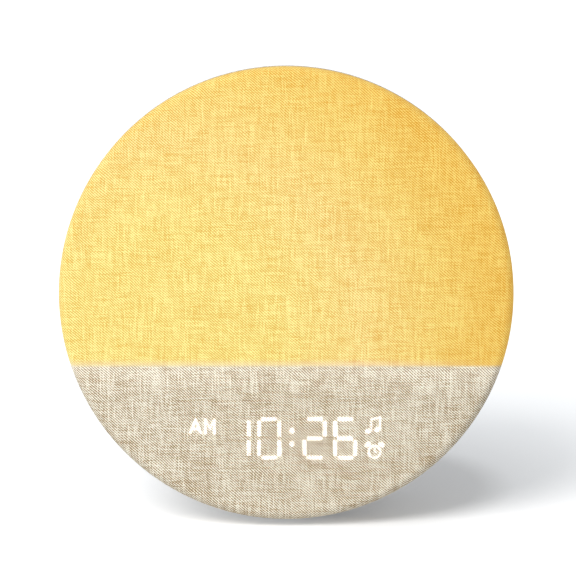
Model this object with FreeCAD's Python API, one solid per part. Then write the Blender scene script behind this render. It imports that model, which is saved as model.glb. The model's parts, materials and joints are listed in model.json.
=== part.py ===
import FreeCAD, Part
import math
import os

Vector = FreeCAD.Vector

# Sunrise alarm clock: a round, cloth-fronted light on a small foot, leaning back a little.
#
# Every piece is modelled square to the face of the clock and leant back only when it is written:
#   x is to the right as one faces the clock, z is up the face, y runs to the back along its axis,
#   and y = 0 is the flat of the face.
# All sizes are millimetres and degrees.

# Overall form
FACE_DIAMETER = 180.0
EDGE_ROLL = 3.5
RIM_DEPTH = 14.0
ROLL_STEPS = 2
BACK_DEPTH = 52.6
LEAN = 8.0
DAYLIGHT_UNDER_RIM = 1.2

# Clearances
FIT = 0.1
SLIDE = 0.3

# Cloth, light diffuser and front frame
CLOTH_THICKNESS = 0.8
DIFFUSER_WALL = 2.0
DIFFUSER_DEPTH = 7.0
GLOW_EDGE_DROP = 29.3
FRAME_WALL = 2.2
PANEL_BACK = 3.0
DIVIDER_WALL = 2.0
LUG_COUNT = 6
LUG_WIDTH = 8.0
LUG_LENGTH = 7.0
LUG_DEPTH = 4.0
HOOK_REACH = 1.7
HOOK_DEPTH = 1.2

# Light pan and lamp board
PAN_FLANGE = 1.4
PAN_WALL = 2.0
PAN_GAP = 6.9
PAN_DEPTH = 8.6
BOARD_THICKNESS = 1.6
LAMP_BOARD_GAP = 1.0
LAMP_SIZE = 5.0
LAMP_HEIGHT = 1.6
LAMP_PITCH = 24.0

# Display
DISPLAY_WIDTH = 84.0
DISPLAY_HEIGHT = 22.0
DISPLAY_DROP = 58.4
DISPLAY_FRONT = 1.0
DISPLAY_DEPTH = 8.0
DISPLAY_FLANGE = 2.6
DISPLAY_FLANGE_THICKNESS = 1.2
DIGIT_DROP = 59.4
DIGIT_HEIGHT = 17.0
COLON_DOT = 2.4
SEGMENT_WIDTH = 1.9
SEGMENT_GAP = 0.5
SEGMENT_DEPTH = 2.0
CELL_MARGIN = 0.6
MORNING_SIZE = (10.4, 6.3)
MORNING_DROP = 53.7
SIGN_SIZE = (7.9, 6.3)
SOUND_SIGN_DROP = 53.2
ALARM_SIGN_DROP = 63.3

# Places across the display, as shares of its width
DIGIT_WIDTH_SHARE = 0.1179
PITCH_SHARE = 0.1446
FIRST_DIGIT_SHARE = -0.225
COLON_SHARE = 0.031
SECOND_PAIR_SHARE = 0.134
MORNING_SHARE = -0.394
SIGN_SHARE = 0.4155

# Rear housing
SHADOW_GAP = 1.0
HOUSING_STEP = 3.5
HOUSING_WALL = 2.4
HOUSING_TAPER = 6.5
BACK_ROLL = 12.0
BACK_ROLL_STEPS = 3
HOLLOW_SIDES = 40
POST_RADIUS = 4.0
POST_CIRCLE_RADIUS = 58.0
BOSS_HEIGHT = 8.1
POST_ANGLES = (45.0, 135.0, 225.0, 315.0)
SCREW_RADIUS = 1.5
SCREW_HEAD_RADIUS = 2.8
SCREW_HEAD_HEIGHT = 2.0
SCREW_LENGTH = 8.0
SEAT_THICKNESS = 3.0
FEW_SIDES = 12

# Foot and its pad
FOOT_WIDTH = 80.0
FOOT_FRONT = 4.0
FOOT_TUCK = 6.6
FOOT_NOSE = 16.0
FOOT_CORNER = 10.0
PAD_THICKNESS = 0.8
PAD_INSET = 2.5

# Grille and loudspeaker
GRILLE_RADIUS = 18.5
GRILLE_SLOT = 1.6
GRILLE_PITCH = 3.6
SPEAKER_FLANGE = 44.0
SPEAKER_FLANGE_THICKNESS = 1.2
SPEAKER_OPENING = 18.6
SPEAKER_SIDES = 28
SPEAKER_LEG = 5.0
SPEAKER_LEG_THICKNESS = 1.2
MAGNET_RADIUS = 14.0
MAGNET_HEIGHT = 9.0
MAGNET_GAP = 3.9
COIL_RADIUS = 5.6
COIL_GAP = 0.6
COIL_DIP = 3.0
CONE_RADIUS = 15.6
CAP_RADIUS = 9.0
CONE_DEPTH = 4.0
CONE_WALL = 0.8
CONE_TRAVEL = 0.8
SURROUND_WALL = 0.5
SURROUND_LIP = 1.4

# Keys on the back
RIGHT_KEYS = ("light", "sound", "clock")
LEFT_KEYS = ("volume_up", "alarm", "volume_down")
KEY_RADIUS = 5.0
KEY_SIDES = 24
KEY_CIRCLE_RADIUS = 41.0
KEY_SPREAD = 26.0
KEY_PROUD = 1.2
KEY_TRAVEL = 0.8
KEY_EAR_LENGTH = 14.0
KEY_EAR_WIDTH = 4.0
KEY_EAR_THICKNESS = 1.2
KEY_BOARD_WIDTH = 17.0
KEY_BOARD_HEIGHT = 58.0
STAKE_POST = 4.0
STAKE_PIN = 2.0
STAKE_HEAD = 0.8

# Push switches
SWITCH_SIZE = 6.0
SWITCH_HEIGHT = 3.5
STEM_SIZE = 2.8
STEM_DIP = 0.2

# Snooze bar on top
SNOOZE_LENGTH = 48.0
SNOOZE_GAP = 1.0
SNOOZE_MARGIN = 2.6
SNOOZE_PROUD = 1.2
SNOOZE_LIP = 2.0
SNOOZE_LIP_THICKNESS = 2.2
SNOOZE_TRAVEL = 1.0
SNOOZE_BOARD_WIDTH = 28.0
SNOOZE_SHELF = 2.5

# Main board and its chips, power inlet and backup cell
MAIN_BOARD_WIDTH = 68.0
MAIN_BOARD_TOP = -20.0
MAIN_BOARD_BOTTOM = -66.0
MAIN_BOARD_STANDOFF = 5.0
STANDOFF_SIZE = 5.0
STANDOFF_INSET = 4.0
CHIP_HEIGHT = 1.2
PROCESSOR_CENTRE = (8.0, -30.0)
PROCESSOR_SIZE = (9.0, 9.0)
MEMORY_CENTRE = (-6.0, -30.0)
MEMORY_SIZE = (6.0, 5.0)
DRIVER_CENTRE = (-16.0, -32.0)
DRIVER_SIZE = (4.0, 8.0)
AMPLIFIER_CENTRE = (22.0, -38.0)
AMPLIFIER_SIZE = (5.0, 5.0)
COIL_CENTRE = (20.0, -56.0)
COIL_SIZE = (7.0, 7.0)
COIL_HEIGHT = 4.0
INLET_DROP = 42.0
INLET_WIDTH = 8.9
INLET_HEIGHT = 3.2
INLET_WALL = 0.3
INLET_DEPTH = 9.0
INLET_SETBACK = 0.4
TONGUE_WIDTH = 6.7
TONGUE_THICKNESS = 0.7
TONGUE_SETBACK = 0.8
POWER_BOARD_WIDTH = 16.0
CELL_RADIUS = 10.0
CELL_HEIGHT = 3.2
CELL_CENTRE = (-21.0, -52.0)
CELL_HOLDER_SIZE = 24.0
CELL_HOLDER_FLOOR = 1.2
LINK_WIDTH = 2.5
LINK_LENGTH = 10.0
RIBBON_WIDTH = 3.0
RIBBON_THICKNESS = 0.3

# Levels and radii that follow from the sizes above
FACE_RADIUS = FACE_DIAMETER / 2
FLAT_RADIUS = FACE_RADIUS - EDGE_ROLL
SHELL_INSET = CLOTH_THICKNESS + FIT
SHELL_RADIUS = FACE_RADIUS - SHELL_INSET
RING_INNER = SHELL_RADIUS - FRAME_WALL
HOUSING_FRONT = RIM_DEPTH + SHADOW_GAP
HOUSING_RADIUS = FACE_RADIUS - HOUSING_STEP
BACK_INNER = BACK_DEPTH - HOUSING_WALL
HOOK_BACK = HOUSING_FRONT - SLIDE
HOOK_FRONT = HOOK_BACK - HOOK_DEPTH
FLANGE_BACK = HOOK_FRONT - FIT
FLANGE_FRONT = FLANGE_BACK - PAN_FLANGE
FLANGE_RADIUS = HOUSING_RADIUS - HOUSING_WALL - SLIDE
PAN_BACK = FLANGE_BACK + PAN_DEPTH
TAPER_PER_DEPTH = HOUSING_TAPER / (BACK_DEPTH - HOUSING_FRONT)
PAN_RADIUS = HOUSING_RADIUS - (PAN_BACK - HOUSING_FRONT) * TAPER_PER_DEPTH - HOUSING_WALL - PAN_GAP
PAN_FLOOR = PAN_BACK - PAN_WALL
PAN_INNER = PAN_RADIUS - PAN_WALL
LAMP_BOARD_BACK = PAN_FLOOR - FIT
LAMP_BOARD_FRONT = LAMP_BOARD_BACK - BOARD_THICKNESS
DIGIT_WIDTH = DIGIT_WIDTH_SHARE * DISPLAY_WIDTH
MAIN_BOARD_FRONT = PAN_BACK + MAIN_BOARD_STANDOFF
MAIN_BOARD_BACK = MAIN_BOARD_FRONT + BOARD_THICKNESS
BOSS_BACK = PAN_BACK + BOSS_HEIGHT
POST_FRONT = BOSS_BACK + FIT
FOOT_BACK = BACK_DEPTH - FOOT_TUCK
SPEAKER_FLANGE_FRONT = BACK_INNER - FIT - SPEAKER_FLANGE_THICKNESS
MAGNET_TOP = PAN_BACK + MAGNET_GAP + MAGNET_HEIGHT
SNOOZE_FRONT = PAN_BACK + SNOOZE_GAP + SNOOZE_LIP
SNOOZE_BACK = BACK_DEPTH - BACK_ROLL - SNOOZE_MARGIN
EAR_BACK = BACK_INNER - SLIDE
EAR_FRONT = EAR_BACK - KEY_EAR_THICKNESS
SWITCH_WELL = KEY_TRAVEL + STEM_DIP + SLIDE
KEY_SWITCH_TOP = EAR_FRONT - KEY_TRAVEL - SLIDE
KEY_BOARD_BACK = KEY_SWITCH_TOP - SWITCH_HEIGHT
KEY_BOARD_FRONT = KEY_BOARD_BACK - BOARD_THICKNESS
FLOOR_DROP = (FACE_RADIUS * math.cos(math.radians(LEAN)) + RIM_DEPTH * math.sin(math.radians(LEAN))
              + DAYLIGHT_UNDER_RIM)


def polar(radius, degrees):
    """Point (x, z) on a circle about the clock's axis, turned from +x towards +z."""
    angle = math.radians(degrees)
    return radius * math.cos(angle), radius * math.sin(angle)


def box(x, y, z):
    """Block between two limits along each axis."""
    corner = Vector(x[0], y[0], z[0])
    return Part.makeBox(x[1] - x[0], y[1] - y[0], z[1] - z[0], corner)


def block(centre, size, y):
    """Block standing along y on a rectangle (width, height) about a point (x, z)."""
    half_x = size[0] / 2
    half_z = size[1] / 2
    return box((centre[0] - half_x, centre[0] + half_x), y, (centre[1] - half_z, centre[1] + half_z))


def rod(radius, y, centre=(0.0, 0.0)):
    """Round bar along y."""
    foot = Vector(centre[0], y[0], centre[1])
    return Part.makeCylinder(radius, y[1] - y[0], foot, Vector(0, 1, 0))


def few_sided(radius, y, centre=(0.0, 0.0), sides=FEW_SIDES):
    """Straight bar along y with flat sides, for small or hidden round parts, to keep the model light."""
    section = flat_face(ring_corners(radius, y[0], sides))
    section.translate(Vector(centre[0], 0, centre[1]))
    return section.extrude(Vector(0, y[1] - y[0], 0))


def ring_corners(radius, y, sides):
    """Corners of a flat-sided ring about the clock's axis."""
    return [Vector(x, y, z) for x, z in [polar(radius, 360 / sides * n) for n in range(sides)]]


def flat_face(corners):
    """Flat face through its corners."""
    return Part.Face(Part.makePolygon(corners + corners[:1]))


def few_sided_stack(rings, sides):
    """Solid through flat-sided rings (radius, y) from front to back."""
    lines = [ring_corners(radius, y, sides) for radius, y in rings]
    faces = [flat_face(lines[0]), flat_face(lines[-1])]
    for near, far in zip(lines, lines[1:]):
        faces += [flat_face([near[n - 1], near[n], far[n], far[n - 1]]) for n in range(sides)]
    return Part.makeSolid(Part.makeShell(faces))


def lathe(points):
    """Solid turned about the clock's axis from a closed outline of (radius, y) points."""
    corners = [Vector(radius, y, 0) for radius, y in points + points[:1]]
    face = Part.Face(Part.makePolygon(corners))
    return face.revolve(Vector(0, 0, 0), Vector(0, 1, 0), 360)


def round_corner(centre, radius, first, last, steps):
    """Points (radius, y) round an arc in short straight steps, so that turned surfaces stay plain cones."""
    bearings = [math.radians(first + (last - first) * n / steps) for n in range(steps + 1)]
    return [(centre[0] + radius * math.cos(a), centre[1] + radius * math.sin(a)) for a in bearings]


def turned(shape, degrees):
    """Copy turned about the clock's axis, from +x towards +z."""
    copy = shape.copy()
    copy.rotate(Vector(0, 0, 0), Vector(0, 1, 0), -degrees)
    return copy


def joined(shapes):
    """One solid from pieces that overlap or share a face."""
    return shapes[0].fuse(shapes[1:]).removeSplitter()


def stadium(centre, width, height, y):
    """Bar along y with a slot-shaped section: a rectangle with round ends."""
    radius = height / 2
    reach = width / 2 - radius
    body = block(centre, (2 * reach, height), y)
    ends = [rod(radius, y, (centre[0] + side * reach, centre[1])) for side in (-1, 1)]
    return joined([body] + ends)


def face_line(inset, steps):
    """Points from the middle of the face out and round its edge, inset behind the surface."""
    return [(0, inset)] + round_corner((FLAT_RADIUS, EDGE_ROLL), EDGE_ROLL - inset, -90, 0, steps)


def leant(shape):
    """Lean a piece back and set it down, origin under the middle of the whole clock."""
    lean = math.radians(LEAN)
    front = EDGE_ROLL * math.cos(lean) - FLAT_RADIUS * math.sin(lean) - EDGE_ROLL
    roll_radius, roll_y = back_roll_centre()
    back = roll_y * math.cos(lean) + roll_radius * math.sin(lean) + BACK_ROLL
    shape.rotate(Vector(0, 0, 0), Vector(1, 0, 0), -LEAN)
    shape.translate(Vector(0, -(front + back) / 2, FLOOR_DROP))
    return shape


def upright(shape):
    """Undo the lean, for the foot, which is drawn standing on the table."""
    shape.translate(Vector(0, 0, -FLOOR_DROP))
    shape.rotate(Vector(0, 0, 0), Vector(1, 0, 0), LEAN)
    return shape


def taper_angle():
    """Angle by which the housing's side narrows towards the back."""
    return math.atan(HOUSING_TAPER / (BACK_DEPTH - HOUSING_FRONT))


def housing_radius(y):
    """Outside radius of the housing's tapered side at a depth."""
    return HOUSING_RADIUS - (y - HOUSING_FRONT) * math.tan(taper_angle())


def fabric_cover():
    """Stretched linen: over the face, round its edge and back along the rim."""
    outside = face_line(0, ROLL_STEPS) + [(FACE_RADIUS, RIM_DEPTH)]
    inside = face_line(CLOTH_THICKNESS, ROLL_STEPS) + [(FACE_RADIUS - CLOTH_THICKNESS, RIM_DEPTH)]
    return lathe(outside + inside[::-1])


def light_diffuser():
    """Milky shell behind the glowing part of the cloth."""
    outside = face_line(SHELL_INSET, ROLL_STEPS) + [(SHELL_RADIUS, DIFFUSER_DEPTH)]
    inside = face_line(SHELL_INSET + DIFFUSER_WALL, 1)[1:] + [(SHELL_RADIUS - DIFFUSER_WALL, DIFFUSER_DEPTH)]
    shell = lathe(outside + [(0, DIFFUSER_DEPTH)]).cut(few_sided_stack(inside, HOLLOW_SIDES))
    above_z = (FIT - GLOW_EDGE_DROP, FACE_RADIUS)
    return shell.common(box((-FACE_RADIUS, FACE_RADIUS), (0, RIM_DEPTH), above_z))


def front_frame():
    """Ring that the cloth is stretched on, with the opaque panel round the display."""
    outside = face_line(SHELL_INSET, ROLL_STEPS) + [(SHELL_RADIUS, RIM_DEPTH)]
    body = lathe(outside + [(0, RIM_DEPTH)])
    body = body.cut(few_sided(RING_INNER, (PANEL_BACK, RIM_DEPTH), sides=HOLLOW_SIDES))
    span = (-FACE_RADIUS, FACE_RADIUS)
    glow = box(span, (0, DIFFUSER_DEPTH + FIT), (-GLOW_EDGE_DROP, FACE_RADIUS))
    window = block((0, -DISPLAY_DROP), (DISPLAY_WIDTH, DISPLAY_HEIGHT), (0, PANEL_BACK))
    body = body.cut(glow).cut(window)

    divider_z = (-GLOW_EDGE_DROP - DIVIDER_WALL, -GLOW_EDGE_DROP)
    divider_front = box(span, (PANEL_BACK, FLANGE_FRONT - FIT), divider_z).common(
        rod(RING_INNER, (0, RIM_DEPTH)))
    divider_back = box(span, (PANEL_BACK, PAN_FLOOR - FIT), divider_z).common(
        rod(PAN_INNER - SLIDE, (0, PAN_FLOOR)))

    lug_radius = (RING_INNER - LUG_LENGTH, RING_INNER + FRAME_WALL / 2)
    lug_z = (-LUG_WIDTH / 2, LUG_WIDTH / 2)
    lug = box(lug_radius, (FLANGE_FRONT - FIT - LUG_DEPTH, FLANGE_FRONT - FIT), lug_z)
    arm_inner = FLANGE_RADIUS + SLIDE
    arm = box((arm_inner, lug_radius[1]), (FLANGE_FRONT - FIT, HOOK_BACK), lug_z)
    arm = arm.common(rod(HOUSING_RADIUS, (0, HOOK_BACK)))
    barb = box((arm_inner - HOOK_REACH, arm_inner), (HOOK_FRONT, HOOK_BACK), lug_z)
    catch = joined([lug, arm, barb])
    catches = [turned(catch, 360 / LUG_COUNT * (n + 0.5)) for n in range(LUG_COUNT)]
    return joined([body, divider_front, divider_back] + catches)


def boss_places():
    """Centres (x, z) of the posts that the housing is screwed down on."""
    return [polar(POST_CIRCLE_RADIUS, angle) for angle in POST_ANGLES]


def standoff_places():
    """Corners (x, z) where the main board rests."""
    side = MAIN_BOARD_WIDTH / 2 - STANDOFF_INSET
    top = MAIN_BOARD_TOP - STANDOFF_INSET
    bottom = MAIN_BOARD_BOTTOM + STANDOFF_INSET
    return [(x, z) for x in (-side, side) for z in (top, bottom)]


def light_pan():
    """White pan behind the lamps: reflector in front, carrier for the boards and the housing behind."""
    flange = rod(FLANGE_RADIUS, (FLANGE_FRONT, FLANGE_BACK))
    tub = few_sided(PAN_RADIUS, (FLANGE_FRONT, PAN_BACK), sides=HOLLOW_SIDES)
    pan = flange.fuse(tub).cut(few_sided(PAN_INNER, (FLANGE_FRONT, PAN_FLOOR), sides=HOLLOW_SIDES))
    boss_size = 2 * POST_RADIUS
    bosses = [block(place, (boss_size, boss_size), (PAN_BACK, BOSS_BACK)) for place in boss_places()]
    standoffs = [block(place, (STANDOFF_SIZE, STANDOFF_SIZE), (PAN_BACK, MAIN_BOARD_FRONT - FIT))
                 for place in standoff_places()]
    shelf_y = (PAN_BACK, SNOOZE_BACK)
    shelf_z = (snooze_shelf_top() - SNOOZE_SHELF, snooze_shelf_top())
    shelf_half = SNOOZE_BOARD_WIDTH / 2 - RIBBON_WIDTH - 2 * SLIDE
    shelf = box((-shelf_half, shelf_half), shelf_y, shelf_z)
    pan = joined([pan, shelf] + bosses + standoffs)
    pilot_y = (BOSS_BACK - SCREW_LENGTH, BOSS_BACK)
    pilots = [few_sided(SCREW_RADIUS, pilot_y, place) for place in boss_places()]
    slots = [block(place, (size[0] + 2 * SLIDE, size[1] + 2 * SLIDE), (PAN_FLOOR, PAN_BACK))
             for place, size in (display_link_place(), lamp_link_place())]
    return pan.cut(pilots + slots)


def lamp_board():
    """Round circuit board with a flat lower edge, on the floor of the pan."""
    board = rod(PAN_INNER - LAMP_BOARD_GAP, (LAMP_BOARD_FRONT, LAMP_BOARD_BACK))
    above_z = (LAMP_BOARD_GAP - GLOW_EDGE_DROP, FACE_RADIUS)
    return board.common(box((-FACE_RADIUS, FACE_RADIUS), (0, BACK_DEPTH), above_z))


def lamps():
    """Square light packages in rows over the lamp board."""
    reach = PAN_INNER - LAMP_BOARD_GAP - LAMP_SIZE
    lowest = LAMP_SIZE + LAMP_BOARD_GAP - GLOW_EDGE_DROP
    steps = range(-int(reach / LAMP_PITCH), int(reach / LAMP_PITCH) + 1)
    places = [(LAMP_PITCH * i, LAMP_PITCH * j) for i in steps for j in steps]
    lit = [place for place in places if math.hypot(*place) < reach and place[1] > lowest]
    level = (LAMP_BOARD_FRONT - LAMP_HEIGHT, LAMP_BOARD_FRONT)
    return Part.makeCompound([block(place, (LAMP_SIZE, LAMP_SIZE), level) for place in lit])


def digit_centres():
    """Middle of each of the four digits, hours then minutes."""
    shares = [start + PITCH_SHARE * n for start in (FIRST_DIGIT_SHARE, SECOND_PAIR_SHARE) for n in (0, 1)]
    return [(share * DISPLAY_WIDTH, -DIGIT_DROP) for share in shares]


def segment_places(centre):
    """Rectangles ((x, z), (width, height)) of the seven segments of one digit."""
    x, z = centre
    side = DIGIT_WIDTH / 2 - SEGMENT_WIDTH / 2
    top = DIGIT_HEIGHT / 2 - SEGMENT_WIDTH / 2
    flat = (DIGIT_WIDTH - 2 * SEGMENT_WIDTH - 2 * SEGMENT_GAP, SEGMENT_WIDTH)
    tall = (SEGMENT_WIDTH, DIGIT_HEIGHT / 2 - SEGMENT_WIDTH - 2 * SEGMENT_GAP)
    bars = [((x, z + level), flat) for level in (-top, 0, top)]
    posts = [((x + across * side, z + up * top / 2), tall) for across in (-1, 1) for up in (-1, 1)]
    return bars + posts


def colon_places():
    """The two dots between hours and minutes."""
    offset = DIGIT_HEIGHT / 5
    x = COLON_SHARE * DISPLAY_WIDTH
    return [((x, side * offset - DIGIT_DROP), (COLON_DOT, COLON_DOT)) for side in (-1, 1)]


def mark_places():
    """The morning mark and the two little signs at the ends of the display."""
    sign_x = SIGN_SHARE * DISPLAY_WIDTH
    return [((MORNING_SHARE * DISPLAY_WIDTH, -MORNING_DROP), MORNING_SIZE),
            ((sign_x, -SOUND_SIGN_DROP), SIGN_SIZE), ((sign_x, -ALARM_SIGN_DROP), SIGN_SIZE)]


def display_block():
    """Black moulding that keeps the light of each digit apart."""
    size = (DISPLAY_WIDTH - 2 * SLIDE, DISPLAY_HEIGHT - 2 * SLIDE)
    centre = (0, -DISPLAY_DROP)
    back = DISPLAY_FRONT + DISPLAY_DEPTH
    body = block(centre, size, (DISPLAY_FRONT, back))
    flange_size = (DISPLAY_WIDTH + 2 * DISPLAY_FLANGE, DISPLAY_HEIGHT + 2 * DISPLAY_FLANGE)
    flange_y = (PANEL_BACK + FIT, PANEL_BACK + FIT + DISPLAY_FLANGE_THICKNESS)
    flange = block(centre, flange_size, flange_y)
    well_y = (DISPLAY_FRONT, DISPLAY_FRONT + SEGMENT_DEPTH)
    digit_well = (DIGIT_WIDTH + CELL_MARGIN, DIGIT_HEIGHT + CELL_MARGIN)
    wells = [block(place, digit_well, well_y) for place in digit_centres()]
    small = colon_places() + mark_places()
    wells += [block(place, (w + CELL_MARGIN, h + CELL_MARGIN), well_y) for place, (w, h) in small]
    return joined([body, flange]).cut(wells)


def display_segments():
    """Milky light guides: four digits of seven segments, the colon, and the marks."""
    level = (DISPLAY_FRONT, DISPLAY_FRONT + SEGMENT_DEPTH)
    places = [place for centre in digit_centres() for place in segment_places(centre)]
    places += colon_places() + mark_places()
    return Part.makeCompound([block(centre, size, level) for centre, size in places])


def display_board():
    """Circuit board on the back of the display block."""
    front = DISPLAY_FRONT + DISPLAY_DEPTH + FIT
    size = (DISPLAY_WIDTH + DISPLAY_FLANGE, DISPLAY_HEIGHT)
    return block((0, -DISPLAY_DROP), size, (front, front + BOARD_THICKNESS))


def display_link_place():
    """Place and section of the pin strip from the display board to the main board."""
    return (0, -DISPLAY_DROP), (LINK_LENGTH, LINK_WIDTH)


def lamp_link_place():
    """Place and section of the pin strip from the lamp board to the main board."""
    z = (MAIN_BOARD_TOP + LAMP_BOARD_GAP - GLOW_EDGE_DROP) / 2
    return (MAIN_BOARD_WIDTH / 4, z), (LINK_LENGTH, LINK_WIDTH)


def key_link_places():
    """Place and section of the pin strips from the main board to the two key boards."""
    x = MAIN_BOARD_WIDTH / 2 - LINK_WIDTH / 2
    z = MAIN_BOARD_TOP - LINK_LENGTH / 2
    return [((side * x, z), (LINK_WIDTH, LINK_LENGTH)) for side in (-1, 1)]


def board_links():
    """Pin strips between the boards."""
    display_back = DISPLAY_FRONT + DISPLAY_DEPTH + FIT + BOARD_THICKNESS
    strips = [block(*display_link_place(), (display_back, MAIN_BOARD_FRONT)),
              block(*lamp_link_place(), (LAMP_BOARD_BACK, MAIN_BOARD_FRONT))]
    strips += [block(*place, (MAIN_BOARD_BACK, KEY_BOARD_FRONT)) for place in key_link_places()]
    return Part.makeCompound(strips)


def main_board():
    """Main circuit board, low behind the pan."""
    return box((-MAIN_BOARD_WIDTH / 2, MAIN_BOARD_WIDTH / 2), (MAIN_BOARD_FRONT, MAIN_BOARD_BACK),
               (MAIN_BOARD_BOTTOM, MAIN_BOARD_TOP))


def board_chips():
    """Processor, memory, lamp driver, amplifier and coil on the main board."""
    chips = [(PROCESSOR_CENTRE, PROCESSOR_SIZE, CHIP_HEIGHT), (MEMORY_CENTRE, MEMORY_SIZE, CHIP_HEIGHT),
             (DRIVER_CENTRE, DRIVER_SIZE, CHIP_HEIGHT), (AMPLIFIER_CENTRE, AMPLIFIER_SIZE, CHIP_HEIGHT),
             (COIL_CENTRE, COIL_SIZE, COIL_HEIGHT)]
    return Part.makeCompound([block(centre, size, (MAIN_BOARD_BACK, MAIN_BOARD_BACK + height))
                              for centre, size, height in chips])


def cell_holder():
    """Open tray for the backup cell."""
    level = (MAIN_BOARD_BACK, MAIN_BOARD_BACK + CELL_HOLDER_FLOOR + CELL_HEIGHT)
    tray = block(CELL_CENTRE, (CELL_HOLDER_SIZE, CELL_HOLDER_SIZE), level)
    well_size = 2 * (CELL_RADIUS + SLIDE)
    well = block(CELL_CENTRE, (well_size, well_size), (MAIN_BOARD_BACK + CELL_HOLDER_FLOOR, level[1]))
    return tray.cut(well)


def backup_cell():
    """Coin cell that keeps the time when the power is off."""
    bottom = MAIN_BOARD_BACK + CELL_HOLDER_FLOOR + FIT
    return few_sided(CELL_RADIUS, (bottom, bottom + CELL_HEIGHT), CELL_CENTRE, SPEAKER_SIDES)


def inlet_back():
    """Depth at which the mouth of the power inlet ends."""
    return BACK_DEPTH - INLET_SETBACK


def power_board():
    """Small board at right angles to the main board, which carries the power inlet."""
    top = -INLET_DROP - INLET_HEIGHT / 2 - FIT
    return box((-POWER_BOARD_WIDTH / 2, POWER_BOARD_WIDTH / 2), (MAIN_BOARD_BACK, BACK_INNER - SLIDE),
               (top - BOARD_THICKNESS, top))


def power_inlet():
    """Metal shell of the power inlet, open to the back."""
    level = (inlet_back() - INLET_DEPTH, inlet_back())
    centre = (0, -INLET_DROP)
    shell = stadium(centre, INLET_WIDTH, INLET_HEIGHT, level)
    hollow = stadium(centre, INLET_WIDTH - 2 * INLET_WALL, INLET_HEIGHT - 2 * INLET_WALL,
                     (level[0] + 2 * INLET_WALL, level[1]))
    return shell.cut(hollow)


def inlet_tongue():
    """Contact tongue in the middle of the inlet."""
    front = inlet_back() - INLET_DEPTH + 2 * INLET_WALL
    return block((0, -INLET_DROP), (TONGUE_WIDTH, TONGUE_THICKNESS), (front, inlet_back() - TONGUE_SETBACK))


def back_roll_centre():
    """Centre (radius, y) of the rounding between the housing's side and its flat back."""
    y = BACK_DEPTH - BACK_ROLL
    return housing_radius(y) - BACK_ROLL / math.cos(taper_angle()), y


def bowl():
    """Outer form of the housing: a tapered side and a rounded back."""
    first = math.degrees(taper_angle())
    roll = round_corner(back_roll_centre(), BACK_ROLL, first, 90, BACK_ROLL_STEPS)
    return lathe([(0, HOUSING_FRONT), (HOUSING_RADIUS, HOUSING_FRONT)] + roll + [(0, BACK_DEPTH)])


def bowl_hollow():
    """Space inside the housing, with flat sides and a chamfer in place of the rounding."""
    front = housing_radius(HOUSING_FRONT) - HOUSING_WALL
    radius, level = back_roll_centre()
    side = housing_radius(level) - HOUSING_WALL
    to_corner = 1 / math.cos(math.pi / HOLLOW_SIDES)
    return few_sided_stack([(front * to_corner, HOUSING_FRONT), (side * to_corner, level),
                            (radius * to_corner, BACK_INNER)], HOLLOW_SIDES)


def foot_outline(inset, z):
    """Plan of the foot on the table: a small nose in front that widens to a straight back."""
    nose = Vector(0, FOOT_FRONT + FOOT_NOSE, z)
    corner = Vector(FOOT_WIDTH / 2 - FOOT_CORNER, FOOT_BACK - FOOT_CORNER, z)
    nose_radius = FOOT_NOSE - inset
    corner_radius = FOOT_CORNER - inset
    across = corner - nose
    bearing = math.atan2(across.y, across.x)
    square_off = bearing - math.acos((nose_radius - corner_radius) / across.Length)
    outward = Vector(math.cos(square_off), math.sin(square_off), 0)
    middle = (square_off + math.pi / 2) / 2
    leave = nose + outward * nose_radius
    meet = corner + outward * corner_radius
    bulge = corner + Vector(math.cos(middle), math.sin(middle), 0) * corner_radius
    back = corner + Vector(0, corner_radius, 0)
    tip = nose - Vector(0, nose_radius, 0)

    def other(point):
        return Vector(-point.x, point.y, point.z)

    edges = [Part.Arc(other(leave), tip, leave), Part.LineSegment(leave, meet), Part.Arc(meet, bulge, back),
             Part.LineSegment(back, other(back)), Part.Arc(other(back), other(bulge), other(meet)),
             Part.LineSegment(other(meet), other(leave))]
    return Part.Face(Part.Wire([edge.toShape() for edge in edges]))


def foot_block(inset, floor):
    """The foot from a level above the table up into the bowl, kept behind the housing's front edge."""
    column = upright(foot_outline(inset, floor).extrude(Vector(0, 0, FLOOR_DROP - POST_CIRCLE_RADIUS / 2)))
    behind = box((-FACE_RADIUS, FACE_RADIUS), (HOUSING_FRONT, 2 * BACK_DEPTH), (-2 * FACE_RADIUS, 0))
    return column.common(behind)


def grille_slots():
    """Level slots through the back, as long as a circle allows."""
    count = int(GRILLE_RADIUS / GRILLE_PITCH)
    slots = []
    for n in range(-count, count + 1):
        z = n * GRILLE_PITCH
        length = 2 * math.sqrt(GRILLE_RADIUS ** 2 - z ** 2)
        slots.append(block((0, z), (length, GRILLE_SLOT), (BACK_INNER, BACK_DEPTH)))
    return slots


def key_places():
    """Centre (x, z) of each key by name: three keys from the top down on each side of the grille."""
    bearings = (KEY_SPREAD, 0, -KEY_SPREAD)
    places = {name: polar(KEY_CIRCLE_RADIUS, bearing) for name, bearing in zip(RIGHT_KEYS, bearings)}
    for name, bearing in zip(LEFT_KEYS, bearings):
        places[name] = polar(KEY_CIRCLE_RADIUS, 180 - bearing)
    return places


def key_board_centre(side):
    """Middle of the key board on the right (1) or the left (-1) of the grille."""
    return side * KEY_CIRCLE_RADIUS, 0


def stake_places():
    """Centres (x, z) of the posts at the ends of the key boards."""
    z = KEY_BOARD_HEIGHT / 2 - STAKE_POST / 2
    return [(key_board_centre(side)[0], up * z) for side in (-1, 1) for up in (-1, 1)]


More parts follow.
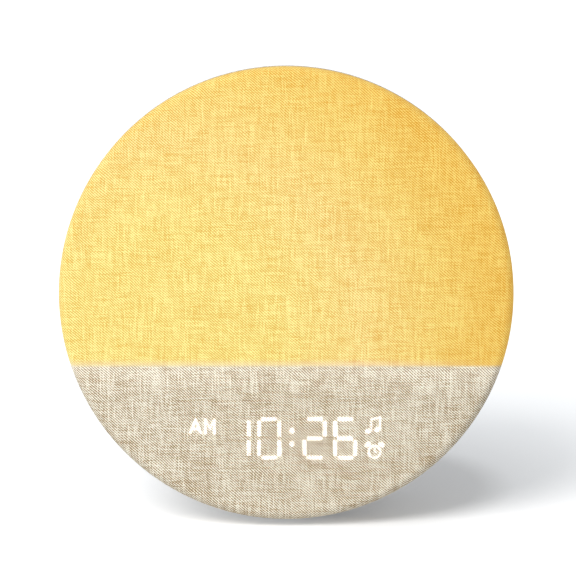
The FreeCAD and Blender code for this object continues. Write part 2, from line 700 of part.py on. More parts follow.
def rear_housing():
    """Moulded back shell and foot in one piece, with its grille, key holes, screw posts and stakes."""
    outer = bowl().fuse(foot_block(0, PAD_THICKNESS))
    inner = bowl_hollow().fuse(foot_block(HOUSING_WALL, PAD_THICKNESS + HOUSING_WALL))
    shell = outer.cut(inner)

    posts = [few_sided(POST_RADIUS, (POST_FRONT, BACK_INNER), place) for place in boss_places()]
    stakes = [block(place, (STAKE_POST, STAKE_POST), (KEY_BOARD_BACK + FIT, BACK_INNER))
              for place in stake_places()]
    pins = [block(place, (STAKE_PIN, STAKE_PIN), (KEY_BOARD_FRONT - STAKE_HEAD, BACK_INNER))
            for place in stake_places()]
    shell = joined([shell] + posts + stakes + pins)

    seat = POST_FRONT + SEAT_THICKNESS
    cuts = [few_sided(SCREW_HEAD_RADIUS + SLIDE, (seat, BACK_DEPTH), place) for place in boss_places()]
    cuts += [few_sided(SCREW_RADIUS + FIT, (POST_FRONT, seat), place) for place in boss_places()]
    cuts += [few_sided(KEY_RADIUS + SLIDE, (BACK_INNER, BACK_DEPTH), place, KEY_SIDES)
             for place in key_places().values()]
    cuts += grille_slots()
    cuts.append(stadium((0, -INLET_DROP), INLET_WIDTH + 2 * SLIDE, INLET_HEIGHT + 2 * SLIDE,
                        (BACK_INNER, BACK_DEPTH)))
    cuts.append(box((-SNOOZE_LENGTH / 2 - SLIDE, SNOOZE_LENGTH / 2 + SLIDE),
                    (SNOOZE_FRONT - SLIDE, SNOOZE_BACK + SLIDE), (snooze_under(), FACE_RADIUS)))
    return shell.cut(cuts)


def housing_screws():
    """Screws down the four posts into the pan."""
    seat = POST_FRONT + SEAT_THICKNESS
    screws = []
    for place in boss_places():
        head = few_sided(SCREW_HEAD_RADIUS, (seat, seat + SCREW_HEAD_HEIGHT), place)
        shank = few_sided(SCREW_RADIUS, (BOSS_BACK - SCREW_LENGTH, seat), place)
        screws.append(head.fuse(shank))
    return Part.makeCompound(screws)


def foot_pad():
    """Soft sheet under the foot."""
    return upright(foot_outline(PAD_INSET, 0).extrude(Vector(0, 0, PAD_THICKNESS)))


def key(place):
    """Round key with two ears that stop it inside the back, and the stem that works its switch."""
    cap = few_sided(KEY_RADIUS, (EAR_FRONT, BACK_DEPTH + KEY_PROUD), place, KEY_SIDES)
    ears = block(place, (KEY_EAR_WIDTH, KEY_EAR_LENGTH), (EAR_FRONT, EAR_BACK))
    stem = block(place, (STEM_SIZE, STEM_SIZE), (KEY_SWITCH_TOP - STEM_DIP, EAR_FRONT))
    return joined([cap, ears, stem])


def key_switches():
    """Push switches under the six keys."""
    switches = []
    for place in key_places().values():
        body = block(place, (SWITCH_SIZE, SWITCH_SIZE), (KEY_BOARD_BACK, KEY_SWITCH_TOP))
        well_size = STEM_SIZE + 2 * SLIDE
        well = block(place, (well_size, well_size), (KEY_SWITCH_TOP - SWITCH_WELL, KEY_SWITCH_TOP))
        switches.append(body.cut(well))
    return Part.makeCompound(switches)


def key_board(side):
    """Circuit board behind the three keys on one side of the grille."""
    level = (KEY_BOARD_FRONT, KEY_BOARD_BACK)
    board = block(key_board_centre(side), (KEY_BOARD_WIDTH, KEY_BOARD_HEIGHT), level)
    hole = STAKE_PIN + 2 * FIT
    return board.cut([block(place, (hole, hole), level) for place in stake_places()])


def snooze_inner_radius():
    """Inside radius of the housing at the back of the snooze bar's lips."""
    return housing_radius(SNOOZE_BACK + SNOOZE_LIP) - HOUSING_WALL


def snooze_under():
    """Level of the flat underside of the snooze bar at rest."""
    half = SNOOZE_LENGTH / 2 + SNOOZE_LIP
    return math.sqrt((snooze_inner_radius() - SLIDE) ** 2 - half ** 2) - SNOOZE_LIP_THICKNESS


def snooze_switch_top():
    """Top of the switch under the snooze bar."""
    return snooze_under() - SNOOZE_TRAVEL - SLIDE


def snooze_shelf_top():
    """Top of the shelf that carries the snooze switch's board."""
    return snooze_switch_top() - SWITCH_HEIGHT - BOARD_THICKNESS - FIT


def snooze_bar():
    """Long key let into the top of the housing, curved to match it."""
    middle = (SNOOZE_FRONT + SNOOZE_BACK) / 2
    top = lathe([(0, SNOOZE_FRONT), (housing_radius(SNOOZE_FRONT) + SNOOZE_PROUD, SNOOZE_FRONT),
                 (housing_radius(SNOOZE_BACK) + SNOOZE_PROUD, SNOOZE_BACK), (0, SNOOZE_BACK)])
    half = SNOOZE_LENGTH / 2
    cap = top.common(box((-half, half), (0, BACK_DEPTH), (snooze_under(), FACE_RADIUS)))
    lip_half = half + SNOOZE_LIP
    lip = rod(snooze_inner_radius() - SLIDE, (SNOOZE_FRONT - SNOOZE_LIP, SNOOZE_BACK + SNOOZE_LIP))
    lip = lip.common(box((-lip_half, lip_half), (0, BACK_DEPTH), (snooze_under(), FACE_RADIUS)))
    stem = box((-STEM_SIZE / 2, STEM_SIZE / 2), (middle - STEM_SIZE / 2, middle + STEM_SIZE / 2),
               (snooze_switch_top() - STEM_DIP, snooze_under()))
    return joined([cap, lip, stem])


def snooze_switch():
    """Push switch under the snooze bar."""
    middle = (SNOOZE_FRONT + SNOOZE_BACK) / 2
    top = snooze_switch_top()
    half = SWITCH_SIZE / 2
    well = STEM_SIZE / 2 + SLIDE
    body = box((-half, half), (middle - half, middle + half), (top - SWITCH_HEIGHT, top))
    depth = SNOOZE_TRAVEL + STEM_DIP + SLIDE
    return body.cut(box((-well, well), (middle - well, middle + well), (top - depth, top)))


def snooze_board():
    """Small circuit board under the snooze switch, on the pan's shelf."""
    bottom = snooze_shelf_top() + FIT
    half = SNOOZE_BOARD_WIDTH / 2
    return box((-half, half), (PAN_BACK + FIT, SNOOZE_BACK), (bottom, bottom + BOARD_THICKNESS))


def snooze_ribbon():
    """Flat cable down the back of the pan from the snooze board to the main board."""
    side = -SNOOZE_BOARD_WIDTH / 2
    x = (side, side + RIBBON_WIDTH)
    back = PAN_BACK + FIT + RIBBON_THICKNESS
    bottom = MAIN_BOARD_TOP - LINK_WIDTH
    down = box(x, (PAN_BACK + FIT, back), (bottom, snooze_shelf_top() + FIT))
    along = box(x, (back, MAIN_BOARD_FRONT), (bottom, bottom + RIBBON_THICKNESS))
    return joined([down, along])


def speaker_basket():
    """Square flange, four slanting legs and the plate that holds the magnet."""
    front = SPEAKER_FLANGE_FRONT
    plate_back = MAGNET_TOP + SPEAKER_LEG_THICKNESS
    flange = block((0, 0), (SPEAKER_FLANGE, SPEAKER_FLANGE), (front, BACK_INNER - FIT))
    plate_side = 2 * MAGNET_RADIUS - 2 * SPEAKER_LEG_THICKNESS
    plate = block((0, 0), (plate_side, plate_side), (MAGNET_TOP, plate_back))
    top = SPEAKER_OPENING + SURROUND_LIP + 2 * SLIDE
    leg_outline = [(top, front), (top + SPEAKER_LEG_THICKNESS, front),
                   (MAGNET_RADIUS, MAGNET_TOP), (MAGNET_RADIUS - SPEAKER_LEG_THICKNESS, MAGNET_TOP)]
    corners = [Vector(r, y, -SPEAKER_LEG / 2) for r, y in leg_outline + leg_outline[:1]]
    leg = Part.Face(Part.makePolygon(corners)).extrude(Vector(0, 0, SPEAKER_LEG))
    legs = [turned(leg, angle) for angle in POST_ANGLES]
    opening = few_sided(SPEAKER_OPENING, (front, BACK_INNER), sides=SPEAKER_SIDES)
    coil_hole = few_sided(COIL_RADIUS + COIL_GAP, (MAGNET_TOP, plate_back), sides=SPEAKER_SIDES)
    return joined([flange, plate] + legs).cut([opening, coil_hole])


def speaker_magnet():
    """Magnet and yoke with the gap that the coil works in."""
    top = MAGNET_TOP
    well = COIL_DIP + CONE_TRAVEL + COIL_GAP
    body = few_sided(MAGNET_RADIUS, (top - MAGNET_HEIGHT, top), sides=SPEAKER_SIDES)
    return body.cut(few_sided(COIL_RADIUS + COIL_GAP, (top - well, top), sides=SPEAKER_SIDES))


def speaker_cone():
    """Paper cone with its dust cap and coil former."""
    rim = SPEAKER_FLANGE_FRONT - FIT
    cap = rim - CONE_DEPTH
    coil_end = MAGNET_TOP - COIL_DIP
    former = few_sided(COIL_RADIUS, (coil_end, cap - CONE_WALL), sides=SPEAKER_SIDES)
    outside = [(CAP_RADIUS, cap - CONE_WALL), (CONE_RADIUS, rim - CONE_WALL), (CONE_RADIUS, rim)]
    body = few_sided_stack(outside, SPEAKER_SIDES)
    bowl_inside = few_sided_stack([(CAP_RADIUS, cap), (CONE_RADIUS, rim)], SPEAKER_SIDES)
    return joined([former, body]).cut(bowl_inside)


def speaker_surround():
    """Rubber ring that lets the cone move."""
    back = SPEAKER_FLANGE_FRONT - FIT
    inner = CONE_RADIUS + FIT
    outer = SPEAKER_OPENING + SURROUND_LIP
    level = (back - SURROUND_WALL, back)
    return few_sided(outer, level, sides=SPEAKER_SIDES).cut(few_sided(inner, level, sides=SPEAKER_SIDES))


def speaker_lead():
    """Flat pair of wires from the loudspeaker to the main board."""
    top = -SPEAKER_FLANGE / 2 - FIT
    half = RIBBON_WIDTH / 2
    return box((-half, half), (MAIN_BOARD_BACK, BACK_INNER - FIT), (top - RIBBON_THICKNESS, top))


def pieces():
    """Every piece of the clock by name."""
    made = {
        "fabric_cover": fabric_cover(),
        "light_diffuser": light_diffuser(),
        "front_frame": front_frame(),
        "light_pan": light_pan(),
        "lamp_board": lamp_board(),
        "lamps": lamps(),
        "display_block": display_block(),
        "display_segments": display_segments(),
        "display_board": display_board(),
        "board_links": board_links(),
        "main_board": main_board(),
        "board_chips": board_chips(),
        "cell_holder": cell_holder(),
        "backup_cell": backup_cell(),
        "power_board": power_board(),
        "power_inlet": power_inlet(),
        "inlet_tongue": inlet_tongue(),
        "rear_housing": rear_housing(),
        "housing_screws": housing_screws(),
        "foot_pad": foot_pad(),
        "key_switches": key_switches(),
        "key_board_right": key_board(1),
        "key_board_left": key_board(-1),
        "snooze_bar": snooze_bar(),
        "snooze_switch": snooze_switch(),
        "snooze_board": snooze_board(),
        "snooze_ribbon": snooze_ribbon(),
        "speaker_basket": speaker_basket(),
        "speaker_magnet": speaker_magnet(),
        "speaker_cone": speaker_cone(),
        "speaker_surround": speaker_surround(),
        "speaker_lead": speaker_lead(),
    }
    for name, place in key_places().items():
        made["key_" + name] = key(place)
    return made


os.makedirs("parts", exist_ok=True)
for node, shape in pieces().items():
    leant(shape).exportStep("parts/" + node + ".step")
    print(node, "solids", len(shape.Solids), "volume", round(shape.Volume, 1), "valid", shape.isValid())
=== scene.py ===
# %% [markdown]
# # A sunrise alarm clock
#
# The real clock is a round plastic bowl on a small foot, closed by a ring with linen stretched over it.
# Behind the linen a warm light fills the upper part, and a display shines through the lower part.
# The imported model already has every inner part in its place, so this lesson only makes the skins that
# the eye sees: cloth, housing, keys and snooze bar. The inner parts keep their shape and get finishes.

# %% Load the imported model
import json
import math

import bmesh
import bpy
from mathutils import Matrix, Vector


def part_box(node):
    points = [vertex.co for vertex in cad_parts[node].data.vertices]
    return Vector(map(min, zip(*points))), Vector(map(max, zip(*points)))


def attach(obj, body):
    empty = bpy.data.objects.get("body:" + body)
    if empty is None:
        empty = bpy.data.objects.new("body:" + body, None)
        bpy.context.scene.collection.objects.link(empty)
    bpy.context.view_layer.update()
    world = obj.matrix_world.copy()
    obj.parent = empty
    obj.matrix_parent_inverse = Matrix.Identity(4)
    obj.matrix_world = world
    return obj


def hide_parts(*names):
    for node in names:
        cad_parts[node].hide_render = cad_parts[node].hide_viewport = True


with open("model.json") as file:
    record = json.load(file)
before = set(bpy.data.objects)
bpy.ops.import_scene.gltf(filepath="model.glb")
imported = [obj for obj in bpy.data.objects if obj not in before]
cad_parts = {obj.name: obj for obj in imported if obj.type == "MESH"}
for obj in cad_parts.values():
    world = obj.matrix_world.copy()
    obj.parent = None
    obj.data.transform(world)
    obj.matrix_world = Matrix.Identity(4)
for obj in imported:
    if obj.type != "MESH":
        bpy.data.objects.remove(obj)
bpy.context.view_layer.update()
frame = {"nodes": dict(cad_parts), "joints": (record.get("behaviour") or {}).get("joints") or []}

MM = 0.001

# %% [markdown]
# The face leans back a few degrees. Everything is easier to draw as if the clock faced us squarely: x to
# the right, z up the face, y straight back from the cloth. One matrix then leans the finished piece.
# The lean is read from the direction in which the loudspeaker's cone moves, and the place from the cloth.

# %% Where the face is
FACE_RADIUS = 90 * MM
EDGE_ROLL = 3.5 * MM
RIM_DEPTH = 14 * MM
FLAT_RADIUS = FACE_RADIUS - EDGE_ROLL

axis = next(Vector(joint["axis"]) for joint in frame["joints"] if joint["name"] == "cone_stroke")
LEAN = math.atan2(-axis.z, axis.y)
cover_low, cover_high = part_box("fabric_cover")
centre_y = cover_high.y - RIM_DEPTH * math.cos(LEAN) - FACE_RADIUS * math.sin(LEAN)
centre_z = cover_low.z + RIM_DEPTH * math.sin(LEAN) + FACE_RADIUS * math.cos(LEAN)
FACE_CENTRE = Vector((0, centre_y, centre_z))
TO_ROW = Matrix.Translation(FACE_CENTRE) @ Matrix.Rotation(-LEAN, 4, "X")
UP_FACE = Vector((0, math.sin(LEAN), math.cos(LEAN)))
INTO_FACE = Vector((0, math.cos(LEAN), -math.sin(LEAN)))
print("lean:", round(math.degrees(LEAN), 2), "degrees, face centre:", [round(c, 4) for c in FACE_CENTRE])

# %% [markdown]
# ## A few hand tools
#
# Working by hand in Blender means: let go of everything, add a simple form, go into edit mode, pick some
# faces or edges, and push them about. These helpers are those same steps, with the picking done by place.

# %% Hand tools
def let_go():
    """Leave edit mode and deselect everything, so that the next operator touches only what it adds."""
    if bpy.context.mode != "OBJECT":
        bpy.ops.object.mode_set(mode="OBJECT")
    bpy.ops.object.select_all(action="DESELECT")


def take(piece):
    """Make one piece the selected and active one."""
    let_go()
    piece.select_set(True)
    bpy.context.view_layer.objects.active = piece


def edit(piece):
    """Go into edit mode on one piece."""
    take(piece)
    bpy.ops.object.mode_set(mode="EDIT")


def leave_edit():
    bpy.ops.object.mode_set(mode="OBJECT")


def pick_all():
    bpy.ops.mesh.select_all(action="SELECT")


def pick(kind, test):
    """In edit mode, select the vertices, edges or faces that pass a test; test gets (part, middle)."""
    bpy.ops.mesh.select_mode(type=kind)
    bpy.ops.mesh.select_all(action="DESELECT")
    mesh = bmesh.from_edit_mesh(bpy.context.edit_object.data)
    parts = {"VERT": mesh.verts, "EDGE": mesh.edges, "FACE": mesh.faces}[kind]
    count = 0
    for part in parts:
        corners = [part.co] if kind == "VERT" else [corner.co for corner in part.verts]
        if test(part, sum(corners, Vector()) / len(corners)):
            part.select_set(True)
            count += 1
    mesh.select_flush_mode()
    bmesh.update_edit_mesh(bpy.context.edit_object.data)
    return count


def tidy_mesh():
    """In edit mode, weld what meets and turn every face outwards."""
    bpy.ops.mesh.select_mode(type="VERT")
    pick_all()
    bpy.ops.mesh.remove_doubles(threshold=1e-6)
    bpy.ops.mesh.normals_make_consistent(inside=False)


def apply_place(piece):
    """Keep the piece's place in its mesh, with the object itself at the origin."""
    take(piece)
    bpy.ops.object.transform_apply(location=True, rotation=True, scale=True)


def lean_back(piece):
    """Lean a piece drawn square to the face, and set it down in its place."""
    take(piece)
    piece.matrix_world = TO_ROW
    apply_place(piece)


def add_modifier(piece, kind, **settings):
    """Add a modifier with its settings and apply it at once."""
    take(piece)
    modifier = piece.modifiers.new(kind.title(), kind)
    for name, value in settings.items():
        setattr(modifier, name, value)
    bpy.ops.object.modifier_apply(modifier=modifier.name)


def carve(piece, tool, how):
    """Join a tool to a piece, cut it away or keep what they share; the tool is used up."""
    add_modifier(piece, "BOOLEAN", object=tool, operation=how, solver="EXACT")
    bpy.data.objects.remove(tool)


def smooth(piece, degrees=35):
    take(piece)
    bpy.ops.object.shade_smooth_by_angle(angle=math.radians(degrees))


print("hand tools ready")

# %% [markdown]
# Most parts of this clock were turned on an axis. A lathe in Blender can be a spin, but a ring that is
# extruded and scaled step by step gives the same mesh, and each step is one line of the outline.

# %% A small lathe
def around(centre, radius, first, last, steps):
    """Points (radius, depth) along an arc of an outline, between two bearings in degrees."""
    bearings = [math.radians(first + (last - first) * n / steps) for n in range(steps + 1)]
    return [(centre[0] + radius * math.cos(a), centre[1] + radius * math.sin(a)) for a in bearings]


def turned(name, outline, sides=128, at=(0, 0)):
    """Turn an outline of (radius, depth) points about an axis that runs straight back."""
    let_go()
    radius, depth = outline[0]
    bpy.ops.mesh.primitive_circle_add(vertices=sides, radius=radius, fill_type="NGON",
                                      location=(at[0], depth, at[1]), rotation=(math.pi / 2, 0, 0))
    piece = bpy.context.object
    piece.name = name
    apply_place(piece)
    edit(piece)
    bpy.ops.mesh.select_mode(type="EDGE")
    pick_all()
    for (near, start), (far, end) in zip(outline, outline[1:]):
        bpy.ops.mesh.extrude_region_move(TRANSFORM_OT_translate={"value": (0, end - start, 0)})
        scale = far / near
        bpy.ops.transform.resize(value=(scale, 1, scale), center_override=(at[0], end, at[1]))
    tidy_mesh()
    leave_edit()
    return piece


def block(name, x, y, z):
    """Box between two limits along each axis."""
    let_go()
    size = (x[1] - x[0], y[1] - y[0], z[1] - z[0])
    middle = ((x[0] + x[1]) / 2, (y[0] + y[1]) / 2, (z[0] + z[1]) / 2)
    bpy.ops.mesh.primitive_cube_add(size=1, location=middle, scale=size)
    piece = bpy.context.object
    piece.name = name
    apply_place(piece)
    return piece


def joined(pieces, name):
    """Join several pieces into one."""
    take(pieces[0])
    for piece in pieces[1:]:
        piece.select_set(True)
    bpy.ops.object.join()
    pieces[0].name = name
    return pieces[0]


print("lathe ready")

# %% [markdown]
# ## The linen cover
#
# The cover is one sheet of plain linen, stretched flat over the ring, rolled over its edge and tucked in
# behind it. A cloth simulation would add nothing here, since the cloth is as taut as a drum skin. So the
# sheet starts as a circle filled with a square mesh, whose rim is extruded around the roll.

# %% Stretch the sheet
CLOTH_SIDES = 192
CLOTH_SPAN = 48
SHEET_THICKNESS = 0.5 * MM
HEM_ROLL = 0.5 * MM
HEM_REACH = 2.6 * MM
HEM_DEPTH = RIM_DEPTH + SHEET_THICKNESS
ROLL_STEPS = 10
HEM_STEPS = 4


def extrude_rings(outline):
    """In edit mode, carry the selected rim through rings of (radius, depth)."""
    for (near, start), (far, end) in zip(outline, outline[1:]):
        bpy.ops.mesh.extrude_edges_move(TRANSFORM_OT_translate={"value": (0, end - start, 0)})
        bpy.ops.transform.resize(value=(far / near, 1, far / near), center_override=(0, end, 0))


let_go()
bpy.ops.mesh.primitive_circle_add(vertices=CLOTH_SIDES, radius=FLAT_RADIUS, rotation=(math.pi / 2, 0, 0))
cloth = bpy.context.object
cloth.name = "linen_cover"
apply_place(cloth)
edit(cloth)
pick_all()
bpy.ops.mesh.fill_grid(span=CLOTH_SPAN)
pick("EDGE", lambda edge, middle: edge.is_boundary)
roll = around((FLAT_RADIUS, EDGE_ROLL), EDGE_ROLL, -90, 0, ROLL_STEPS)
hem = around((FACE_RADIUS - HEM_ROLL, HEM_DEPTH - HEM_ROLL), HEM_ROLL, 0, 90, HEM_STEPS)
extrude_rings(roll + hem + [(FACE_RADIUS - HEM_REACH, HEM_DEPTH)])
pick_all()
bpy.ops.mesh.normals_make_consistent(inside=False)
leave_edit()
front = min(cloth.data.polygons, key=lambda face: face.center.y + face.center.xz.length)
print("cloth faces:", len(cloth.data.polygons), "front looks towards", [round(c, 2) for c in front.normal])

# %% [markdown]
# The display shines through the cloth. Its light needs no lamps of its own: the sheet gets a fine mesh
# where the display lies, and every point there is told how brightly the digits behind it glow.

# %% A finer mesh over the display
DISPLAY_LEFT = -40 * MM
DISPLAY_RIGHT = 41 * MM
DISPLAY_BOTTOM = -68 * MM
DISPLAY_TOP = -45 * MM
DISPLAY_CUTS = 9
ON_FRONT = 0.1 * MM

edit(cloth)
count = pick("FACE", lambda face, middle: middle.y < ON_FRONT and DISPLAY_LEFT < middle.x < DISPLAY_RIGHT
             and DISPLAY_BOTTOM < middle.z < DISPLAY_TOP)
bpy.ops.mesh.subdivide(number_cuts=DISPLAY_CUTS)
leave_edit()
print("faces over the display:", count, "cut into", count * (DISPLAY_CUTS + 1) ** 2)

# %% [markdown]
# Digits and signs are drawn as strokes, each a bar with round or square ends, a ring or a dot. The same
# strokes later print the signs on the keys. A point glows by its distance from the nearest stroke.

# %% Strokes
def bar(x0, z0, x1, z1, width):
    """Stroke from one point to another."""
    def distance(x, z):
        length = (x1 - x0) ** 2 + (z1 - z0) ** 2
        share = ((x - x0) * (x1 - x0) + (z - z0) * (z1 - z0)) / length
        share = min(1, max(0, share))
        return math.hypot(x - x0 - share * (x1 - x0), z - z0 - share * (z1 - z0)) - width / 2
    return distance


def plate(x, z, width, height, corner):
    """Filled rectangle about a point, with round corners."""
    def distance(px, pz):
        across = abs(px - x) - width / 2 + corner
        up = abs(pz - z) - height / 2 + corner
        outside = math.hypot(max(across, 0), max(up, 0))
        return outside + min(max(across, up), 0) - corner
    return distance


def ring(x, z, radius, width):
    return lambda px, pz: abs(math.hypot(px - x, pz - z) - radius) - width / 2


def dot(x, z, radius):
    return lambda px, pz: math.hypot(px - x, pz - z) - radius


def oval(x, z, width, height, turn):
    """Filled oval, turned anticlockwise by some degrees."""
    cos, sin = math.cos(math.radians(turn)), math.sin(math.radians(turn))

    def distance(px, pz):
        along = ((px - x) * cos + (pz - z) * sin) / (width / 2)
        across = ((pz - z) * cos - (px - x) * sin) / (height / 2)
        return (math.hypot(along, across) - 1) * height / 2
    return distance


def paint(piece, attribute, strokes, softness, within, centre=(0, 0), side=1):
    """Write how deep each vertex lies inside the strokes, from 0 outside to 1 inside; side -1 is the back."""
    values = [0.0] * len(piece.data.vertices)
    for index, vertex in enumerate(piece.data.vertices):
        if within(vertex.co):
            x, z = side * (vertex.co.x - centre[0]) / MM, (vertex.co.z - centre[1]) / MM
            nearest = min(stroke(x, z) for stroke in strokes)
            values[index] = min(1.0, max(0.0, 0.5 - nearest / softness))
    layer = piece.data.attributes.new(attribute, "FLOAT", "POINT")
    layer.data.foreach_set("value", values)
    return sum(value > 0.5 for value in values)


print("strokes ready")

# %% [markdown]
# The display is an ordinary seven-bar one. Its bars are short rectangles that do not quite touch, which
# is what makes such digits look the way they do. Only the bars that are lit are drawn. All places are in
# mm from the middle of the face, to the right and up.

# %% Digits and signs that shine through
DIGIT_ROW = -57.1
DIGIT_HEIGHT = 17.0
DIGIT_WIDTH = 9.6
BAR_WIDTH = 1.55
BAR_LENGTH = 6.2
POST_LENGTH = 6.2
BAR_CORNER = 0.45
GLOW_FADE = 0.45
LIT_BARS = {"0": "abcdef", "1": "bc", "2": "abdeg", "6": "acdefg"}
DIGITS = ((-18.9, "1"), (-6.75, "0"), (11.25, "2"), (23.4, "6"))
COLON_ACROSS = 2.2
COLON_RISE = 3.1
COLON_DROP = 2.2
COLON_DOT = 1.08
MORNING_PLACE = (-33.1, -52.3)
NOTE_PLACE = (34.8, -51.6)
BELL_PLACE = (35.0, -61.6)


def digit(x, figure):
    """Lit bars of one figure, lettered clockwise from the top with g in the middle."""
    side = (DIGIT_WIDTH - BAR_WIDTH) / 2
    level = (DIGIT_HEIGHT - BAR_WIDTH) / 2
    places = {"a": (x, level), "g": (x, 0), "d": (x, -level), "b": (x + side, level / 2),
              "c": (x + side, -level / 2), "e": (x - side, -level / 2), "f": (x - side, level / 2)}
    bars = []
    for letter in LIT_BARS[figure]:
        flat = letter in "adg"
        across, up = places[letter]
        width, height = (BAR_LENGTH, BAR_WIDTH) if flat else (BAR_WIDTH, POST_LENGTH)
        bars.append(plate(across, DIGIT_ROW + up, width, height, BAR_CORNER))
    return bars


def morning_mark(x, z):
    """The two letters of the morning half of the day."""
    return [bar(x - 5.0, z - 2.6, x - 2.8, z + 2.6, 1.0), bar(x - 0.7, z - 2.6, x - 2.8, z + 2.6, 1.0),
            bar(x - 4.2, z - 1.0, x - 1.5, z - 1.0, 0.9), bar(x + 1.1, z - 2.6, x + 1.1, z + 2.6, 1.15),
            bar(x + 4.6, z - 2.6, x + 4.6, z + 2.6, 1.15), bar(x + 1.1, z + 2.6, x + 2.85, z - 1.0, 0.8),
            bar(x + 4.6, z + 2.6, x + 2.85, z - 1.0, 0.8)]


def note_sign(x, z, size=1.0):
    """A pair of beamed notes."""
    s = size
    return [oval(x - 2.2 * s, z - 2.5 * s, 2.9 * s, 2.0 * s, 20),
            oval(x + 1.3 * s, z - 1.9 * s, 2.9 * s, 2.0 * s, 20),
            bar(x - 1.1 * s, z - 2.4 * s, x - 1.1 * s, z + 2.0 * s, 0.75 * s),
            bar(x + 2.4 * s, z - 1.8 * s, x + 2.4 * s, z + 2.8 * s, 0.75 * s),
            bar(x - 1.1 * s, z + 2.1 * s, x + 2.4 * s, z + 2.9 * s, 0.9 * s)]


def bell_sign(x, z, size=1.0):
    """An alarm clock with two bells."""
    s = size
    return [ring(x, z - 0.9 * s, 2.35 * s, 0.8 * s),
            oval(x - 2.75 * s, z + 2.0 * s, 2.6 * s, 2.0 * s, 40),
            oval(x + 2.75 * s, z + 2.0 * s, 2.6 * s, 2.0 * s, -40),
            bar(x, z - 0.9 * s, x, z + 0.5 * s, 0.5 * s),
            bar(x, z - 0.9 * s, x + 0.9 * s, z - 0.9 * s, 0.5 * s)]


lit = [stroke for x, figure in DIGITS for stroke in digit(x, figure)]
for colon_up in (DIGIT_ROW + COLON_RISE, DIGIT_ROW - COLON_DROP):
    lit.append(dot(COLON_ACROSS, colon_up, COLON_DOT))
lit += morning_mark(*MORNING_PLACE) + note_sign(*NOTE_PLACE) + bell_sign(*BELL_PLACE)
glowing = paint(cloth, "display_glow", lit, GLOW_FADE,
                lambda co: co.y < ON_FRONT and DISPLAY_BOTTOM < co.z < DISPLAY_TOP)
print("strokes:", len(lit), "- points that glow:", glowing)

# %% [markdown]
# Cloth is woven flat, so its weave has to follow the sheet and not the space around it. A UV map in real
# size does that: each point keeps its bearing, and its distance is measured along the sheet.

# %% Lay out the weave
UV_SIZE = 210 * MM


def along_sheet(co):
    """Distance of a point from the middle of the sheet, measured along the cloth."""
    radius = math.hypot(co.x, co.z)
    if co.y < 1e-7:
        return radius
    if co.y < EDGE_ROLL:
        angle = math.atan2(radius - FLAT_RADIUS, EDGE_ROLL - co.y)
        return FLAT_RADIUS + EDGE_ROLL * angle
    side = FLAT_RADIUS + EDGE_ROLL * math.pi / 2 + min(co.y, HEM_DEPTH) - EDGE_ROLL
    return side + FACE_RADIUS - radius


weave_map = cloth.data.uv_layers[0] if cloth.data.uv_layers else cloth.data.uv_layers.new(name="weave")
weave_map.name = "weave"
for loop in cloth.data.loops:
    co = cloth.data.vertices[loop.vertex_index].co
    radius = math.hypot(co.x, co.z)
    stretch = along_sheet(co) / radius if radius > 1e-9 else 1
    weave_map.data[loop.index].uv = (0.5 + co.x * stretch / UV_SIZE, 0.5 + co.z * stretch / UV_SIZE)
add_modifier(cloth, "SOLIDIFY", thickness=SHEET_THICKNESS, offset=-1, use_even_offset=True)
lean_back(cloth)
smooth(cloth, 40)
print("cloth is", round(SHEET_THICKNESS / MM, 1), "mm thick, points:", len(cloth.data.vertices))

# %% [markdown]
# ## The housing
#
# The back is one moulding: a bowl that narrows a little, with a generous rounding, and a hollow foot that
# grows out of it. Drawing it as two solids joined, with two smaller ones taken out, gives an even wall.

# %% Turn the bowl
HOUSING_FRONT = 15 * MM
HOUSING_RADIUS = 86.5 * MM
BACK_DEPTH = 52.6 * MM
HOUSING_TAPER = 6.5 * MM
BACK_ROLL = 12 * MM
WALL = 2.4 * MM
BACK_INNER = BACK_DEPTH - WALL
SMOOTH_SIDES = 192
FRONT_EDGE = 0.4 * MM

taper = math.atan(HOUSING_TAPER / (BACK_DEPTH - HOUSING_FRONT))


def side_radius(depth):
    return HOUSING_RADIUS - (depth - HOUSING_FRONT) * math.tan(taper)


roll_depth = BACK_DEPTH - BACK_ROLL
roll_centre = (side_radius(roll_depth) - BACK_ROLL / math.cos(taper), roll_depth)
outside = [(HOUSING_RADIUS - FRONT_EDGE, HOUSING_FRONT), (HOUSING_RADIUS, HOUSING_FRONT + FRONT_EDGE)]
outside += around(roll_centre, BACK_ROLL, math.degrees(taper), 90, 12)
inside = [(side_radius(HOUSING_FRONT) - WALL, HOUSING_FRONT - MM)]
inside += around(roll_centre, BACK_ROLL - WALL, math.degrees(taper), 90, 8)
housing = turned("housing", outside, SMOOTH_SIDES)
hollow = turned("hollow", inside, SMOOTH_SIDES)
print("bowl:", round(2 * HOUSING_RADIUS / MM, 1), "mm wide,", len(housing.data.polygons), "faces")

# %% [markdown]
# The foot is upright, while the bowl leans. Seen from above it is a small round nose that widens to a
# straight back: three arcs joined by straight lines. A filled circle is laid out along that plan and
# drawn up into a column. A bevel would be quicker, but on such sharp corners it bulges past the arc.

# %% Grow the foot
PAD_INSET = 2.5 * MM
FOOT_NOSE = 16 * MM
FOOT_CORNER = 10 * MM
FOOT_TOP = 63 * MM
ARC_STEPS = 16
pad_low, pad_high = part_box("foot_pad")


